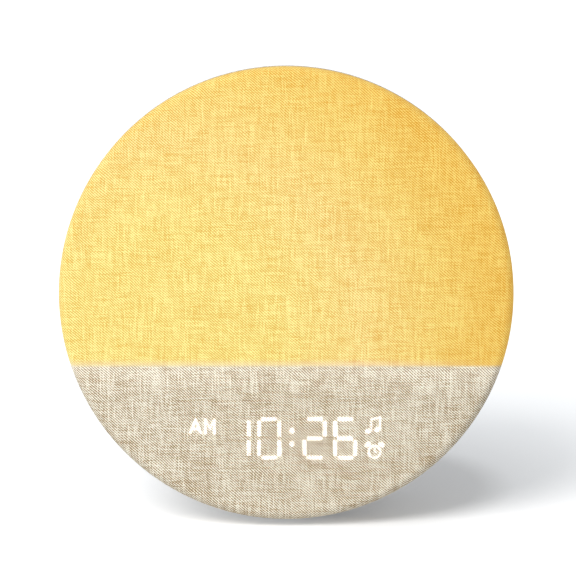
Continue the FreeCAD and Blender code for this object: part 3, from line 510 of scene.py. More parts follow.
def foot_column(name, inset, floor):
    """The foot from a level up into the bowl, kept behind the housing's front edge."""
    nose = Vector((0, pad_low.y - PAD_INSET + FOOT_NOSE))
    corner = Vector((pad_high.x + PAD_INSET - FOOT_CORNER, pad_high.y + PAD_INSET - FOOT_CORNER))
    nose_radius, corner_radius = FOOT_NOSE - inset, FOOT_CORNER - inset
    across = corner - nose
    square_off = math.atan2(across.y, across.x) - math.acos((nose_radius - corner_radius) / across.length)
    turn = math.degrees(square_off)
    other = Vector((-corner.x, corner.y))
    plan = around(corner, corner_radius, turn, 90, ARC_STEPS)
    plan += around(other, corner_radius, 90, 180 - turn, ARC_STEPS)
    plan += around(nose, nose_radius, 180 - turn, 360 + turn, ARC_STEPS)

    let_go()
    bpy.ops.mesh.primitive_circle_add(vertices=len(plan), fill_type="NGON")
    column = bpy.context.object
    column.name = name
    for vertex, place in zip(column.data.vertices, plan):
        vertex.co = (*place, floor)
    edit(column)
    pick_all()
    bpy.ops.mesh.extrude_region_move(TRANSFORM_OT_translate={"value": (0, 0, FOOT_TOP - floor)})
    tidy_mesh()
    pick_all()
    bpy.ops.mesh.bisect(plane_co=TO_ROW @ Vector((0, HOUSING_FRONT, 0)), plane_no=INTO_FACE,
                        clear_inner=True, use_fill=True)
    tidy_mesh()
    leave_edit()
    column.matrix_world = TO_ROW.inverted()
    apply_place(column)
    return column


carve(housing, foot_column("foot", 0, pad_high.z), "UNION")
carve(hollow, foot_column("foot_hollow", WALL, pad_high.z + WALL), "UNION")
carve(housing, hollow, "DIFFERENCE")
print("housing with foot:", len(housing.data.polygons), "faces")

# %% [markdown]
# Inside the back stand four screw posts. Then come the openings, all made as solids and cut in one go:
# the screw wells, six key holes, the slots over the loudspeaker, the inlet and the slot for the long key.

# %% Posts and openings
POST_CIRCLE = 58 * MM
POST_FRONT = 30.2 * MM
SCREW_SEAT = 33.2 * MM
POST_RADIUS = 4 * MM
WELL_RADIUS = 3.1 * MM
BORE_RADIUS = 1.6 * MM
KEY_CIRCLE = 41 * MM
KEY_RADIUS = 5 * MM
SLIDE = 0.3 * MM
GRILLE_RADIUS = 18.5 * MM
GRILLE_SLOT = 1.6 * MM
GRILLE_PITCH = 3.6 * MM
GRILLE_ROWS = range(-5, 6)
INLET_DROP = 42 * MM
INLET_HALF = (4.75 * MM, 1.9 * MM)
INLET_CORNER = 1.85 * MM
SNOOZE_HALF = 24 * MM
SNOOZE_FRONT = 25 * MM
SNOOZE_BACK = 38 * MM
SNOOZE_CORNER = 3 * MM
SNOOZE_LOW = 72.9 * MM


def polar(radius, degrees):
    return radius * math.cos(math.radians(degrees)), radius * math.sin(math.radians(degrees))


def rounded_block(name, x, y, z, way, corner):
    """Block whose four edges along one axis (0, 1 or 2) are rounded."""
    piece = block(name, x, y, z)
    edit(piece)
    pick("EDGE", lambda edge, middle: abs((edge.verts[0].co - edge.verts[1].co).normalized()[way]) > 0.99)
    bpy.ops.mesh.bevel(offset=corner, segments=6, profile=0.5, clamp_overlap=False)
    tidy_mesh()
    leave_edit()
    return piece


post_places = [polar(POST_CIRCLE, angle) for angle in (45, 135, 225, 315)]
post_outline = [(POST_RADIUS, POST_FRONT), (POST_RADIUS, BACK_INNER + MM)]
posts = [turned("post", post_outline, 32, place) for place in post_places]
carve(housing, joined(posts, "posts"), "UNION")

KEY_BEARINGS = {"light": 26, "sound": 0, "clock": -26, "volume_up": 154, "alarm": 180, "volume_down": 206}
KEY_PLACES = {name: polar(KEY_CIRCLE, bearing) for name, bearing in KEY_BEARINGS.items()}
through = BACK_DEPTH + MM
well_outline = [(WELL_RADIUS, SCREW_SEAT), (WELL_RADIUS, through)]
tools = [turned("well", well_outline, 32, place) for place in post_places]
tools += [turned("bore", [(BORE_RADIUS, POST_FRONT - MM), (BORE_RADIUS, SCREW_SEAT + MM)], 16, place)
          for place in post_places]
hole_radius = KEY_RADIUS + SLIDE
tools += [turned("key_hole", [(hole_radius, BACK_INNER - MM), (hole_radius, through)], 64, place)
          for place in KEY_PLACES.values()]
for row in GRILLE_ROWS:
    level = row * GRILLE_PITCH
    half = math.sqrt(GRILLE_RADIUS ** 2 - level ** 2)
    tools.append(rounded_block("slot", (-half, half), (BACK_INNER - MM, through),
                               (level - GRILLE_SLOT / 2, level + GRILLE_SLOT / 2), 1, GRILLE_SLOT * 0.47))
tools.append(rounded_block("inlet_hole", (-INLET_HALF[0], INLET_HALF[0]), (BACK_INNER - MM, through),
                           (-INLET_DROP - INLET_HALF[1], -INLET_DROP + INLET_HALF[1]), 1, INLET_CORNER))
tools.append(rounded_block("snooze_hole", (-SNOOZE_HALF - SLIDE, SNOOZE_HALF + SLIDE),
                           (SNOOZE_FRONT - SLIDE, SNOOZE_BACK + SLIDE), (SNOOZE_LOW, FACE_RADIUS + MM), 2,
                           SNOOZE_CORNER + SLIDE))
carve(housing, joined(tools, "openings"), "DIFFERENCE")
print("housing with openings:", len(housing.data.polygons), "faces")

# %% [markdown]
# A moulded edge is never sharp. The rims of the openings on the back are picked by place and bevelled.

# %% Soften the rims
RIM_ROUND = 0.35 * MM


def is_rim(edge, middle):
    on_back = all(abs(corner.co.y - BACK_DEPTH) < 1e-6 for corner in edge.verts)
    flat = [abs(face.normal.y) > 0.9 for face in edge.link_faces]
    on_flat = math.hypot(middle.x, middle.z) < roll_centre[0] - MM
    return on_back and on_flat and len(flat) == 2 and flat[0] != flat[1]


edit(housing)
tidy_mesh()
count = pick("EDGE", is_rim)
bpy.ops.mesh.bevel(offset=RIM_ROUND, segments=3, profile=0.5, clamp_overlap=False)
leave_edit()
lean_back(housing)
smooth(housing, 30)
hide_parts("rear_housing")
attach(housing, "clock")
print("rim edges rounded:", count)

# %% [markdown]
# ## Keys
#
# The long snooze key follows the curve of the housing, and its hidden lips keep it from falling out. Each
# round key has two ears for the same reason, and a stem over its switch.

# %% Snooze key
SNOOZE_PROUD = 1.2 * MM
SNOOZE_LIP = 2 * MM
LIP_RADIUS = 79.48 * MM
STEM_HALF = 1.4 * MM
SNOOZE_STEM_LOW = 71.4 * MM
KEY_ROUND = 0.5 * MM


def curved_bar(name, radius_front, radius_back, half, depths, corner):
    """Part of a turned disc between two depths, cut to a width and to the level of the key's underside."""
    before, after = depths[0] - MM, depths[1] + MM
    slope = (radius_back - radius_front) / (depths[1] - depths[0])
    piece = turned(name, [(radius_front - slope * MM, before), (radius_back + slope * MM, after)], 384)
    carve(piece, rounded_block("cut", (-half, half), depths, (SNOOZE_LOW, FACE_RADIUS + 5 * MM), 2, corner),
          "INTERSECT")
    return piece


snooze = curved_bar("snooze_key", side_radius(SNOOZE_FRONT) + SNOOZE_PROUD,
                    side_radius(SNOOZE_BACK) + SNOOZE_PROUD, SNOOZE_HALF, (SNOOZE_FRONT, SNOOZE_BACK),
                    SNOOZE_CORNER)
edit(snooze)
pick("EDGE", lambda edge, middle: len(edge.link_faces) == 2 and edge.calc_face_angle(0) > 0.9
     and math.hypot(middle.x, middle.z) > side_radius(middle.y) + 0.9 * MM)
bpy.ops.mesh.bevel(offset=KEY_ROUND, segments=4, profile=0.5, clamp_overlap=False)
leave_edit()
lips = curved_bar("lips", LIP_RADIUS, LIP_RADIUS, SNOOZE_HALF + SNOOZE_LIP,
                  (SNOOZE_FRONT - SNOOZE_LIP, SNOOZE_BACK + SNOOZE_LIP), 0.5 * MM)
carve(snooze, lips, "UNION")
middle_depth = (SNOOZE_FRONT + SNOOZE_BACK) / 2
stem = block("stem", (-STEM_HALF, STEM_HALF), (middle_depth - STEM_HALF, middle_depth + STEM_HALF),
             (SNOOZE_STEM_LOW, SNOOZE_LOW + MM))
carve(snooze, stem, "UNION")
lean_back(snooze)
smooth(snooze, 30)
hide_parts("snooze_bar")
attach(snooze, "snooze_bar")
print("snooze key:", len(snooze.data.polygons), "faces")

# %% [markdown]
# The six keys are alike, except for the sign printed on each. Their tops get a fine mesh, and the sign is
# painted on its points just as the display was. It is drawn mirrored, since the keys are read from behind.

# %% Round keys
EAR_FRONT = 48.7 * MM
EAR_BACK = 49.9 * MM
KEY_TOP = 53.8 * MM
KEY_STEM_FRONT = 47.4 * MM
EAR_HALF = 2 * MM
EAR_REACH = 7 * MM
KEY_SIDES = 96
ON_TOP = KEY_TOP - 1e-6
SIGN_FADE = 0.2
SIGNS = {
    "light": [ring(0, 0, 0.95, 0.4)] + [bar(*polar(1.65, turn), *polar(2.35, turn), 0.4)
                                        for turn in range(0, 360, 45)],
    "sound": note_sign(0, 0, 0.7),
    "clock": [ring(0, 0, 2.1, 0.45), bar(0, 0, 0, 1.3, 0.4), bar(0, 0, 0.95, 0, 0.4)],
    "volume_up": [bar(-1.8, 0, 1.8, 0, 0.5), bar(0, -1.8, 0, 1.8, 0.5)],
    "alarm": bell_sign(0, 0, 0.68),
    "volume_down": [bar(-1.8, 0, 1.8, 0, 0.5)],
}


def round_key(name, place):
    x, z = place
    outline = [(KEY_RADIUS, EAR_FRONT)]
    outline += around((KEY_RADIUS - KEY_ROUND, KEY_TOP - KEY_ROUND), KEY_ROUND, 0, 90, 4)
    piece = turned("key_cap_" + name, outline, KEY_SIDES, place)
    edit(piece)
    pick("FACE", lambda face, middle: middle.y > ON_TOP)
    bpy.ops.mesh.delete(type="ONLY_FACE")
    pick("EDGE", lambda edge, middle: edge.is_boundary)
    bpy.ops.mesh.fill_grid(span=KEY_SIDES // 4)
    pick("FACE", lambda face, middle: middle.y > ON_TOP)
    bpy.ops.mesh.subdivide(number_cuts=1)
    tidy_mesh()
    leave_edit()
    ears = block("ears", (x - EAR_HALF, x + EAR_HALF), (EAR_FRONT, EAR_BACK), (z - EAR_REACH, z + EAR_REACH))
    stem = block("stem", (x - STEM_HALF, x + STEM_HALF), (KEY_STEM_FRONT, EAR_FRONT + 0.1 * MM),
                 (z - STEM_HALF, z + STEM_HALF))
    carve(piece, ears, "UNION")
    carve(piece, stem, "UNION")
    marked = paint(piece, "sign", SIGNS[name], SIGN_FADE, lambda co: co.y > ON_TOP, place, -1)
    lean_back(piece)
    smooth(piece, 30)
    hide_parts("key_" + name)
    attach(piece, "key_" + name)
    return piece, marked


keys = []
for name, place in KEY_PLACES.items():
    piece, marked = round_key(name, place)
    keys.append(piece)
    print("key", name, "- faces:", len(piece.data.polygons), "- points of its sign:", marked)

# %% [markdown]
# ## Materials
#
# A material is a small graph of nodes. This helper adds one node, sets its options, and fills its inputs
# with numbers or with the outputs of other nodes, so that each finish below reads as a list of steps.

# %% Node helpers
def add_node(tree, kind, inputs=None, **settings):
    """Add one node; its settings come first, since they can change which inputs it has."""
    made = tree.nodes.new("ShaderNode" + kind)
    for name, value in settings.items():
        setattr(made, name, value)
    for name, value in (inputs or {}).items():
        if isinstance(value, bpy.types.NodeSocket):
            tree.links.new(value, made.inputs[name])
        else:
            made.inputs[name].default_value = value
    return made


def maths(tree, operation, first, second=0.0, third=0.0):
    """Output of one Math node."""
    return add_node(tree, "Math", {0: first, 1: second, 2: third}, operation=operation).outputs[0]


def vector_maths(tree, operation, first, second=(0, 0, 0)):
    """Output of one Vector Math node: a number for lengths and dot products, otherwise a vector."""
    made = add_node(tree, "VectorMath", {0: first, 1: second}, operation=operation)
    return made.outputs["Value" if operation in ("DOT_PRODUCT", "LENGTH", "DISTANCE") else "Vector"]


def scaled(tree, vector, factor):
    """A vector or colour times a number."""
    return add_node(tree, "VectorMath", {0: vector, "Scale": factor}, operation="SCALE").outputs["Vector"]


def fade(tree, value, start, end):
    """Smooth step of a value, from 0 at the start to 1 at the end."""
    return add_node(tree, "MapRange", {0: value, 1: start, 2: end}, interpolation_type="SMOOTHSTEP").outputs[0]


def colour_ramp(tree, value, stops):
    """Colour read from a ramp; each stop is a position and a colour."""
    made = add_node(tree, "ValToRGB", {0: value})
    ramp = made.color_ramp
    ramp.elements[0].position, ramp.elements[0].color = stops[0]
    ramp.elements[1].position, ramp.elements[1].color = stops[-1]
    for position, colour in stops[1:-1]:
        ramp.elements.new(position).color = colour
    return made.outputs["Color"]


def mix_colours(tree, share, first, second):
    """Output of one colour Mix node; inputs 6 and 7 are its colours."""
    return add_node(tree, "Mix", {0: share, 6: first, 7: second}, data_type="RGBA").outputs[2]


def new_group(name, sockets_in, sockets_out):
    """Shader node group with named inputs (and their values) and outputs."""
    group = bpy.data.node_groups.new(name, "ShaderNodeTree")
    for label, kind, value in sockets_in:
        socket = group.interface.new_socket(label, in_out="INPUT", socket_type="NodeSocket" + kind)
        if value is not None:
            socket.default_value = value
    for label, kind in sockets_out:
        group.interface.new_socket(label, in_out="OUTPUT", socket_type="NodeSocket" + kind)
    return group, group.nodes.new("NodeGroupInput"), group.nodes.new("NodeGroupOutput")


def new_material(name, colour, roughness, **sockets):
    """Material with its Principled shader; uniform values go straight on the shader's own sockets."""
    made = bpy.data.materials.new(name)
    made.use_nodes = True
    shader = made.node_tree.nodes["Principled BSDF"]
    shader.inputs["Base Color"].default_value = (*colour, 1)
    shader.inputs["Roughness"].default_value = roughness
    for label, value in sockets.items():
        shader.inputs[label.replace("_", " ")].default_value = value
    return made, made.node_tree, shader


print("node helpers ready")

# %% [markdown]
# ### Linen
#
# Plain linen is warp and weft passing over and under one another, about seventeen threads to the centimetre,
# with thick and thin places along every thread. A photographed weave would repeat and could not be lit from
# behind, so the threads are worked out: sines give each thread its round crown, the sign of their product says
# which thread is on top, and noise drawn out along each thread makes the slubs. That product also paints light
# and shade into the threads' tone: lighter where the warp lies on top, darker where the weft does, as light
# raking over the weave would show them. The lines that run down to the right are painted highlights, where
# light catches the twisted yarn. Pitches and lengths are in mm.

# %% The weave
WARP_PITCH = 0.605
WEFT_PITCH = 0.53
DRIFT_REACH = 1.1
DRIFT_SCALE = 0.11
CLOUD_SCALE = 0.05
SLUB_LENGTH = 10.0
THREAD_STEP = 1.37
CROSSING_LIGHT_AND_SHADE = 0.5
TWIST_HIGHLIGHTS = 0.9
SHADE_OF_SLUBS = 3.8
SHADE_OF_CLOUDS = 0.6


def build_weave():
    group, entry, leave = new_group("plain_weave", [("Place", "Vector", None)],
                                    [("Shade", "Float"), ("Height", "Float")])
    place = entry.outputs["Place"]
    drift = add_node(group, "TexNoise", {"Vector": place, "Scale": DRIFT_SCALE, "Detail": 2.0})
    centred = vector_maths(group, "SUBTRACT", drift.outputs["Color"], (0.5, 0.5, 0.5))
    drawn = vector_maths(group, "MULTIPLY", centred, (DRIFT_REACH, DRIFT_REACH, 0.0))
    axes = add_node(group, "SeparateXYZ", {0: vector_maths(group, "ADD", drawn, place)})
    warp = maths(group, "MULTIPLY", axes.outputs[0], math.pi / WARP_PITCH)
    weft = maths(group, "MULTIPLY", axes.outputs[1], math.pi / WEFT_PITCH)
    warp_wave = maths(group, "SINE", warp)
    weft_wave = maths(group, "SINE", weft)
    over = maths(group, "MULTIPLY", warp_wave, weft_wave)
    twist_highlight = maths(group, "COSINE", maths(group, "ADD", warp, weft))
    crown = maths(group, "POWER", maths(group, "ABSOLUTE", over), 0.6)
    warp_number = maths(group, "FLOOR", maths(group, "DIVIDE", axes.outputs[0], WARP_PITCH))
    weft_number = maths(group, "FLOOR", maths(group, "DIVIDE", axes.outputs[1], WEFT_PITCH))
    tones = []
    for number, along in ((warp_number, axes.outputs[1]), (weft_number, axes.outputs[0])):
        thread = add_node(group, "CombineXYZ", {0: maths(group, "MULTIPLY", number, THREAD_STEP), 1: along})
        streak = add_node(group, "Mapping", {"Vector": thread.outputs[0], "Scale": (1.0, 1 / SLUB_LENGTH, 1.0)})
        slub = add_node(group, "TexNoise", {"Vector": streak.outputs[0], "Scale": 1.0, "Detail": 3.0,
                                            "Roughness": 0.6})
        tones.append(maths(group, "SUBTRACT", slub.outputs[0], 0.5))
    on_top = maths(group, "GREATER_THAN", over, 0.0)
    warp_share = maths(group, "MULTIPLY_ADD", on_top, 0.5, 0.25)
    slubs = add_node(group, "Mix", {0: warp_share, 2: tones[1], 3: tones[0]}).outputs[0]
    cloudy = add_node(group, "TexNoise", {"Vector": place, "Scale": CLOUD_SCALE, "Detail": 3.0})
    # Shade mixes the threads' own tone (slubs, clouds) with painted light and shade: the crossings and the
    # diagonal highlights of the twisted yarn.
    shade = maths(group, "MULTIPLY_ADD", over, CROSSING_LIGHT_AND_SHADE, 0.5)
    shade = maths(group, "MULTIPLY_ADD", twist_highlight, TWIST_HIGHLIGHTS, shade)
    shade = maths(group, "MULTIPLY_ADD", slubs, SHADE_OF_SLUBS, shade)
    clouds = maths(group, "SUBTRACT", cloudy.outputs[0], 0.5)
    shade = maths(group, "MULTIPLY_ADD", clouds, SHADE_OF_CLOUDS, shade)
    height = maths(group, "MULTIPLY_ADD", slubs, 0.5, crown)
    group.links.new(shade, leave.inputs["Shade"])
    group.links.new(height, leave.inputs["Height"])
    return group


WEAVE = build_weave()
print("weave nodes:", len(WEAVE.nodes))

# %% [markdown]
# Seen from the front the cloth has three kinds of place. Its lower part is beige. Its upper part is lit from
# behind, and that light is painted on the cloth as a glow of its own: brightest yellow low on the left, more
# orange towards the upper right, and paler just above its border. A little of that painted light spills into
# the beige below. These places are masks, worked out from the distance up, across and into the face in mm. The
# display was painted on the points.

# %% Masks on the face
GLOW_EDGE = -28.3
GLOW_SOFTNESS = 0.9
GLOW_DEPTH = (8.5, 5.5)
SPILL_REACH = 14.0
PALE_REACH = 3.4


def face_masks(tree):
    """Masks of the lit part, its pale rim and the light spilt below, with the distances up and across."""
    space = add_node(tree, "TexCoord")
    from_centre = vector_maths(tree, "SUBTRACT", space.outputs["Object"], FACE_CENTRE)
    up = vector_maths(tree, "DOT_PRODUCT", from_centre, UP_FACE / MM)
    across = vector_maths(tree, "DOT_PRODUCT", from_centre, (1 / MM, 0, 0))
    depth = vector_maths(tree, "DOT_PRODUCT", from_centre, INTO_FACE / MM)

    from_inside = vector_maths(tree, "SUBTRACT", from_centre, INTO_FACE * HEM_DEPTH)
    facing = vector_maths(tree, "DOT_PRODUCT", from_inside, space.outputs["Normal"])
    outer_side = maths(tree, "GREATER_THAN", facing, 0.0)
    shown = maths(tree, "MULTIPLY", outer_side, fade(tree, depth, *GLOW_DEPTH))

    above = fade(tree, up, GLOW_EDGE - GLOW_SOFTNESS, GLOW_EDGE + GLOW_SOFTNESS)
    lit_part = maths(tree, "MULTIPLY", above, shown)
    below = maths(tree, "SUBTRACT", shown, lit_part)
    spilt = maths(tree, "MULTIPLY", fade(tree, up, GLOW_EDGE - SPILL_REACH, GLOW_EDGE - 1.0), below)
    pale = fade(tree, up, GLOW_EDGE + PALE_REACH, GLOW_EDGE)
    return {"lit": lit_part, "spilt": spilt, "pale": pale, "up": up, "across": across}


print("masks ready")

# %% [markdown]
# The light that comes through is tinted twice: by how far it has come from the brightest spot, and by the
# thread it passes. Thick threads hold back blue more than red, which keeps the dark ones orange, not grey.

# %% Light through the cloth
BRIGHTEST = (-45.0, -15.0)
GLOW_NEAR = 40.0
GLOW_FAR = 124.0
GLOW_COLOURS = ((0.0, (0.455, 0.4, 0.135, 1)), (0.42, (0.455, 0.35, 0.14, 1)),
                (0.77, (0.435, 0.298, 0.072, 1)), (1.0, (0.415, 0.232, 0.025, 1)))
THROUGH_DARK = (0.9, 0.72, 0.5, 1)
THROUGH_LIGHT = (1.12, 1.26, 1.5, 1)
THROUGH_PALE = (1.0, 1.05, 2.2, 1)
SPILL_COLOUR = (1.0, 0.95, 0.86)
SPILL_LIGHT = 0.11
WHITE_LEAST = 0.6
WHITE_SHARE = 0.3


def light_through(tree, shade, masks):
    """Light that the cloth gives off: the glow, its spill and the display."""
    from_spot = add_node(tree, "CombineXYZ", {0: maths(tree, "SUBTRACT", masks["across"], BRIGHTEST[0]),
                                              1: maths(tree, "SUBTRACT", masks["up"], BRIGHTEST[1])})
    distance = vector_maths(tree, "LENGTH", from_spot.outputs[0])
    warmth = add_node(tree, "MapRange", {0: distance, 1: GLOW_NEAR, 2: GLOW_FAR})
    glow = colour_ramp(tree, warmth.outputs[0], GLOW_COLOURS)
    thread = mix_colours(tree, shade, THROUGH_DARK, THROUGH_LIGHT)
    thread = mix_colours(tree, masks["pale"], thread, THROUGH_PALE)
    lit = scaled(tree, vector_maths(tree, "MULTIPLY", glow, thread), masks["lit"])
    spill = scaled(tree, SPILL_COLOUR, maths(tree, "MULTIPLY", masks["spilt"], SPILL_LIGHT))

    figures = add_node(tree, "Attribute", attribute_name="display_glow")
    level = maths(tree, "MULTIPLY_ADD", shade, WHITE_SHARE, WHITE_LEAST)
    display = scaled(tree, (1.0, 1.0, 1.0), maths(tree, "MULTIPLY", figures.outputs["Fac"], level))
    return vector_maths(tree, "ADD", vector_maths(tree, "ADD", lit, spill), display)


print("light ready")

# %% [markdown]
# The material itself lays the weave out along the sheet, colours the threads, and adds the light.

# %% Linen
LINEN_COLOURS = ((0.0, (0.29, 0.19, 0.085, 1)), (0.5, (0.83, 0.71, 0.52, 1)), (1.0, (1.0, 0.98, 0.87, 1)))
# LIT_DARK and LIT_LIGHT are the linen's base colour painted with the warm light from behind it, in place of its
# own beige.
LIT_DARK = (0.43, 0.22, 0.02, 1)
LIT_LIGHT = (0.57, 0.5, 0.19, 1)
THREAD_RELIEF = 0.18 * MM


def build_linen():
    made, tree, shader = new_material("linen", (0.74, 0.64, 0.5), 0.92, Specular_IOR_Level=0.12,
                                      Sheen_Weight=0.12, Sheen_Roughness=0.5)
    flat = add_node(tree, "UVMap", uv_map="weave")
    size = UV_SIZE / MM
    place = add_node(tree, "Mapping", {"Vector": flat.outputs[0], "Location": (-size / 2, -size / 2, 0),
                                       "Scale": (size, size, 1)})
    weave = add_node(tree, "Group", {"Place": place.outputs[0]}, node_tree=WEAVE)
    shade = weave.outputs["Shade"]
    masks = face_masks(tree)

    beige = colour_ramp(tree, shade, LINEN_COLOURS)
    # Where the cloth is lit from behind, its base colour is painted amber: the light's colour, not the linen's
    # own.
    painted_lit_colour = mix_colours(tree, shade, LIT_DARK, LIT_LIGHT)
    tree.links.new(mix_colours(tree, masks["lit"], beige, painted_lit_colour), shader.inputs["Base Color"])
    tree.links.new(light_through(tree, shade, masks), shader.inputs["Emission Color"])
    shader.inputs["Emission Strength"].default_value = 1.0
    bump = add_node(tree, "Bump", {"Strength": 0.6, "Distance": THREAD_RELIEF,
                                   "Height": weave.outputs["Height"]})
    tree.links.new(bump.outputs[0], shader.inputs["Normal"])
    return made


LINEN = build_linen()
cloth.data.materials.clear()
cloth.data.materials.append(LINEN)
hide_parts("fabric_cover")
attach(cloth, "clock")
print("linen on", cloth.name)

# %% [markdown]
# ### Plastics, metals and boards
#
# Everything else is moulded, stamped or printed. All of it shares one effect: a fine grain that shifts the
# colour and the gloss a little and roughens the surface. It is built once, as a group, and each finish
# below gives it a size and a strength of its own.

# %% Shared grain
def build_grain():
    group, entry, leave = new_group("fine_grain", [("Place", "Vector", None), ("Size", "Float", 1.0)],
                                    [("Tone", "Float"), ("Height", "Float")])
    place = entry.outputs["Place"]
    frequency = maths(group, "DIVIDE", 1.0, entry.outputs["Size"])
    fine = add_node(group, "TexNoise", {"Vector": place, "Scale": frequency, "Detail": 3.0})
    low_frequency = maths(group, "MULTIPLY", frequency, 0.06)
    broad = add_node(group, "TexNoise", {"Vector": place, "Scale": low_frequency, "Detail": 2.0})
    pits = add_node(group, "TexVoronoi", {"Vector": place, "Scale": frequency})
    tone = add_node(group, "Mix", {0: 0.6, 2: fine.outputs[0], 3: broad.outputs[0]})
    height = add_node(group, "Mix", {0: 0.4, 2: fine.outputs[0], 3: pits.outputs["Distance"]})
    group.links.new(tone.outputs[0], leave.inputs["Tone"])
    group.links.new(height.outputs[0], leave.inputs["Height"])
    return group


GRAIN = build_grain()


def finish(name, colour, roughness, size=0.4, shift=0.06, relief=0.02, stretch=(1, 1, 1), **sockets):
    """Material with grain: size and relief in mm, colour shift as a share, and a stretch for brushing."""
    made, tree, shader = new_material(name, colour, roughness, **sockets)
    space = add_node(tree, "TexCoord")
    place = add_node(tree, "Mapping", {"Vector": space.outputs["Object"],
                                       "Scale": [1 / MM / step for step in stretch]})
    grain = add_node(tree, "Group", {"Place": place.outputs[0], "Size": size}, node_tree=GRAIN)
    dark = [channel * (1 - shift) for channel in colour]
    light = [min(1, channel * (1 + shift)) for channel in colour]
    tint = mix_colours(tree, grain.outputs["Tone"], (*dark, 1), (*light, 1))
    tree.links.new(tint, shader.inputs["Base Color"])
    gloss = add_node(tree, "MapRange", {0: grain.outputs["Tone"], 3: roughness - 0.06, 4: roughness + 0.06})
    tree.links.new(gloss.outputs[0], shader.inputs["Roughness"])
    bump = add_node(tree, "Bump", {"Strength": 0.5, "Distance": relief * MM, "Height": grain.outputs["Height"]})
    tree.links.new(bump.outputs[0], shader.inputs["Normal"])
    return made, tree, shader, tint


print("grain nodes:", len(GRAIN.nodes))

# %% [markdown]
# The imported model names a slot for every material, and the finishes are kept under those names. So an
# inner part gets its finish by looking up the slot that it came with.

# %% Finishes by slot
WARM_WHITE = (0.78, 0.755, 0.715)
KEY_WHITE = (0.72, 0.695, 0.655)
SIGN_GREY = (0.07, 0.07, 0.072, 1)

FINISHES = {"linen": LINEN}
PLAIN = {
    "housing_white": dict(colour=WARM_WHITE, roughness=0.52, size=0.35, shift=0.02, relief=0.03),
    "frame_white": dict(colour=(0.74, 0.73, 0.71), roughness=0.5, size=0.5, shift=0.02),
    "pan_white": dict(colour=(0.82, 0.82, 0.8), roughness=0.42, size=0.5, shift=0.02),
    "diffuser": dict(colour=(0.86, 0.84, 0.78), roughness=0.45, size=0.5, shift=0.02, Subsurface_Weight=0.2),
    "circuit_board": dict(colour=(0.02, 0.13, 0.06), roughness=0.38, size=1.2, shift=0.3, Coat_Weight=0.4),
    "lamp": dict(colour=(0.9, 0.78, 0.35), roughness=0.35, size=0.6, shift=0.05),
    "display_black": dict(colour=(0.02, 0.02, 0.022), roughness=0.5, shift=0.2),
    "display_segment": dict(colour=(0.85, 0.85, 0.83), roughness=0.4, size=0.5, shift=0.02),
    "connector_black": dict(colour=(0.025, 0.025, 0.027), roughness=0.45, shift=0.2),
    "chip_black": dict(colour=(0.03, 0.03, 0.032), roughness=0.6, size=0.3, shift=0.25),
    "cell_steel": dict(colour=(0.62, 0.61, 0.59), roughness=0.28, size=0.5, stretch=(1, 1, 12), Metallic=1.0),
    "inlet_steel": dict(colour=(0.66, 0.65, 0.63), roughness=0.25, size=0.3, stretch=(12, 1, 1), Metallic=1.0),
    "screw_steel": dict(colour=(0.5, 0.49, 0.47), roughness=0.32, size=0.3, Metallic=1.0),
    "pad_rubber": dict(colour=(0.1, 0.1, 0.1), roughness=0.85, size=0.6, shift=0.2, relief=0.05),
    "ribbon": dict(colour=(0.75, 0.74, 0.7), roughness=0.4, size=0.6, shift=0.05),
    "basket_steel": dict(colour=(0.42, 0.41, 0.4), roughness=0.4, size=0.6, Metallic=1.0),
    "magnet_black": dict(colour=(0.04, 0.04, 0.045), roughness=0.55, size=0.5, shift=0.25),
    "cone_paper": dict(colour=(0.05, 0.047, 0.043), roughness=0.9, size=0.7, shift=0.3, relief=0.08),
    "surround_rubber": dict(colour=(0.02, 0.02, 0.02), roughness=0.7, size=0.5, shift=0.2),
}
for slot, values in PLAIN.items():
    FINISHES[slot] = finish(slot, **values)[0]

keys_finish, tree, shader, tint = finish("key_plastic", KEY_WHITE, 0.5, size=0.35, shift=0.02)
sign = add_node(tree, "Attribute", attribute_name="sign")
tree.links.new(mix_colours(tree, sign.outputs["Fac"], tint, SIGN_GREY), shader.inputs["Base Color"])
FINISHES["key_plastic"] = keys_finish

for part in frame["nodes"].values():
    for place in part.material_slots:
        place.material = FINISHES[place.material.name.split(".")[0]]
moulded = [(housing, "housing_white"), (snooze, "key_plastic")] + [(key, "key_plastic") for key in keys]
for piece, slot in moulded:
    piece.data.materials.clear()
    piece.data.materials.append(FINISHES[slot])
print("finishes:", len(FINISHES))

# %% [markdown]
# ## Floor, light and camera
#
# The clock stands on plain white paper in a bright room, lit softly from the upper left. Even white light from
# everywhere fills the shadows, and one wide lamp gives the shadow its direction. To the camera the paper adds
# painted light of its own, least at the foot, where the shadow lies, and more the farther away, so this painted
# light also shapes how the shadow fades. So it looks white without more light on the clock. Places here are in
# metres.

# %% Paper and room
FLOOR_SIZE = 12
SHADOW_MIDDLE = (0.035, 0.02, 0)
LIFT_REACH = 0.4
LIFT_COLOUR = (0.94, 0.97, 1, 1)
PAINTED_FLOOR_LIFTS = ((0.0, 0.17), (0.06, 0.17), (0.11, 0.19), (0.15, 0.36), (0.25, 0.48), (0.35, 0.55), (1.0, 0.75))

let_go()
bpy.ops.mesh.primitive_plane_add(size=FLOOR_SIZE)
paper = bpy.context.object
paper.name = "paper_floor"
paper_finish, tree, shader = new_material("paper", (0.8, 0.8, 0.8), 0.9, Specular_IOR_Level=0.1)
space = add_node(tree, "TexCoord")
grain = add_node(tree, "TexNoise", {"Vector": space.outputs["Object"], "Scale": 900.0})
tint = mix_colours(tree, grain.outputs[0], (0.79, 0.79, 0.8, 1), (0.82, 0.82, 0.82, 1))
tree.links.new(tint, shader.inputs["Base Color"])
seen = add_node(tree, "LightPath")
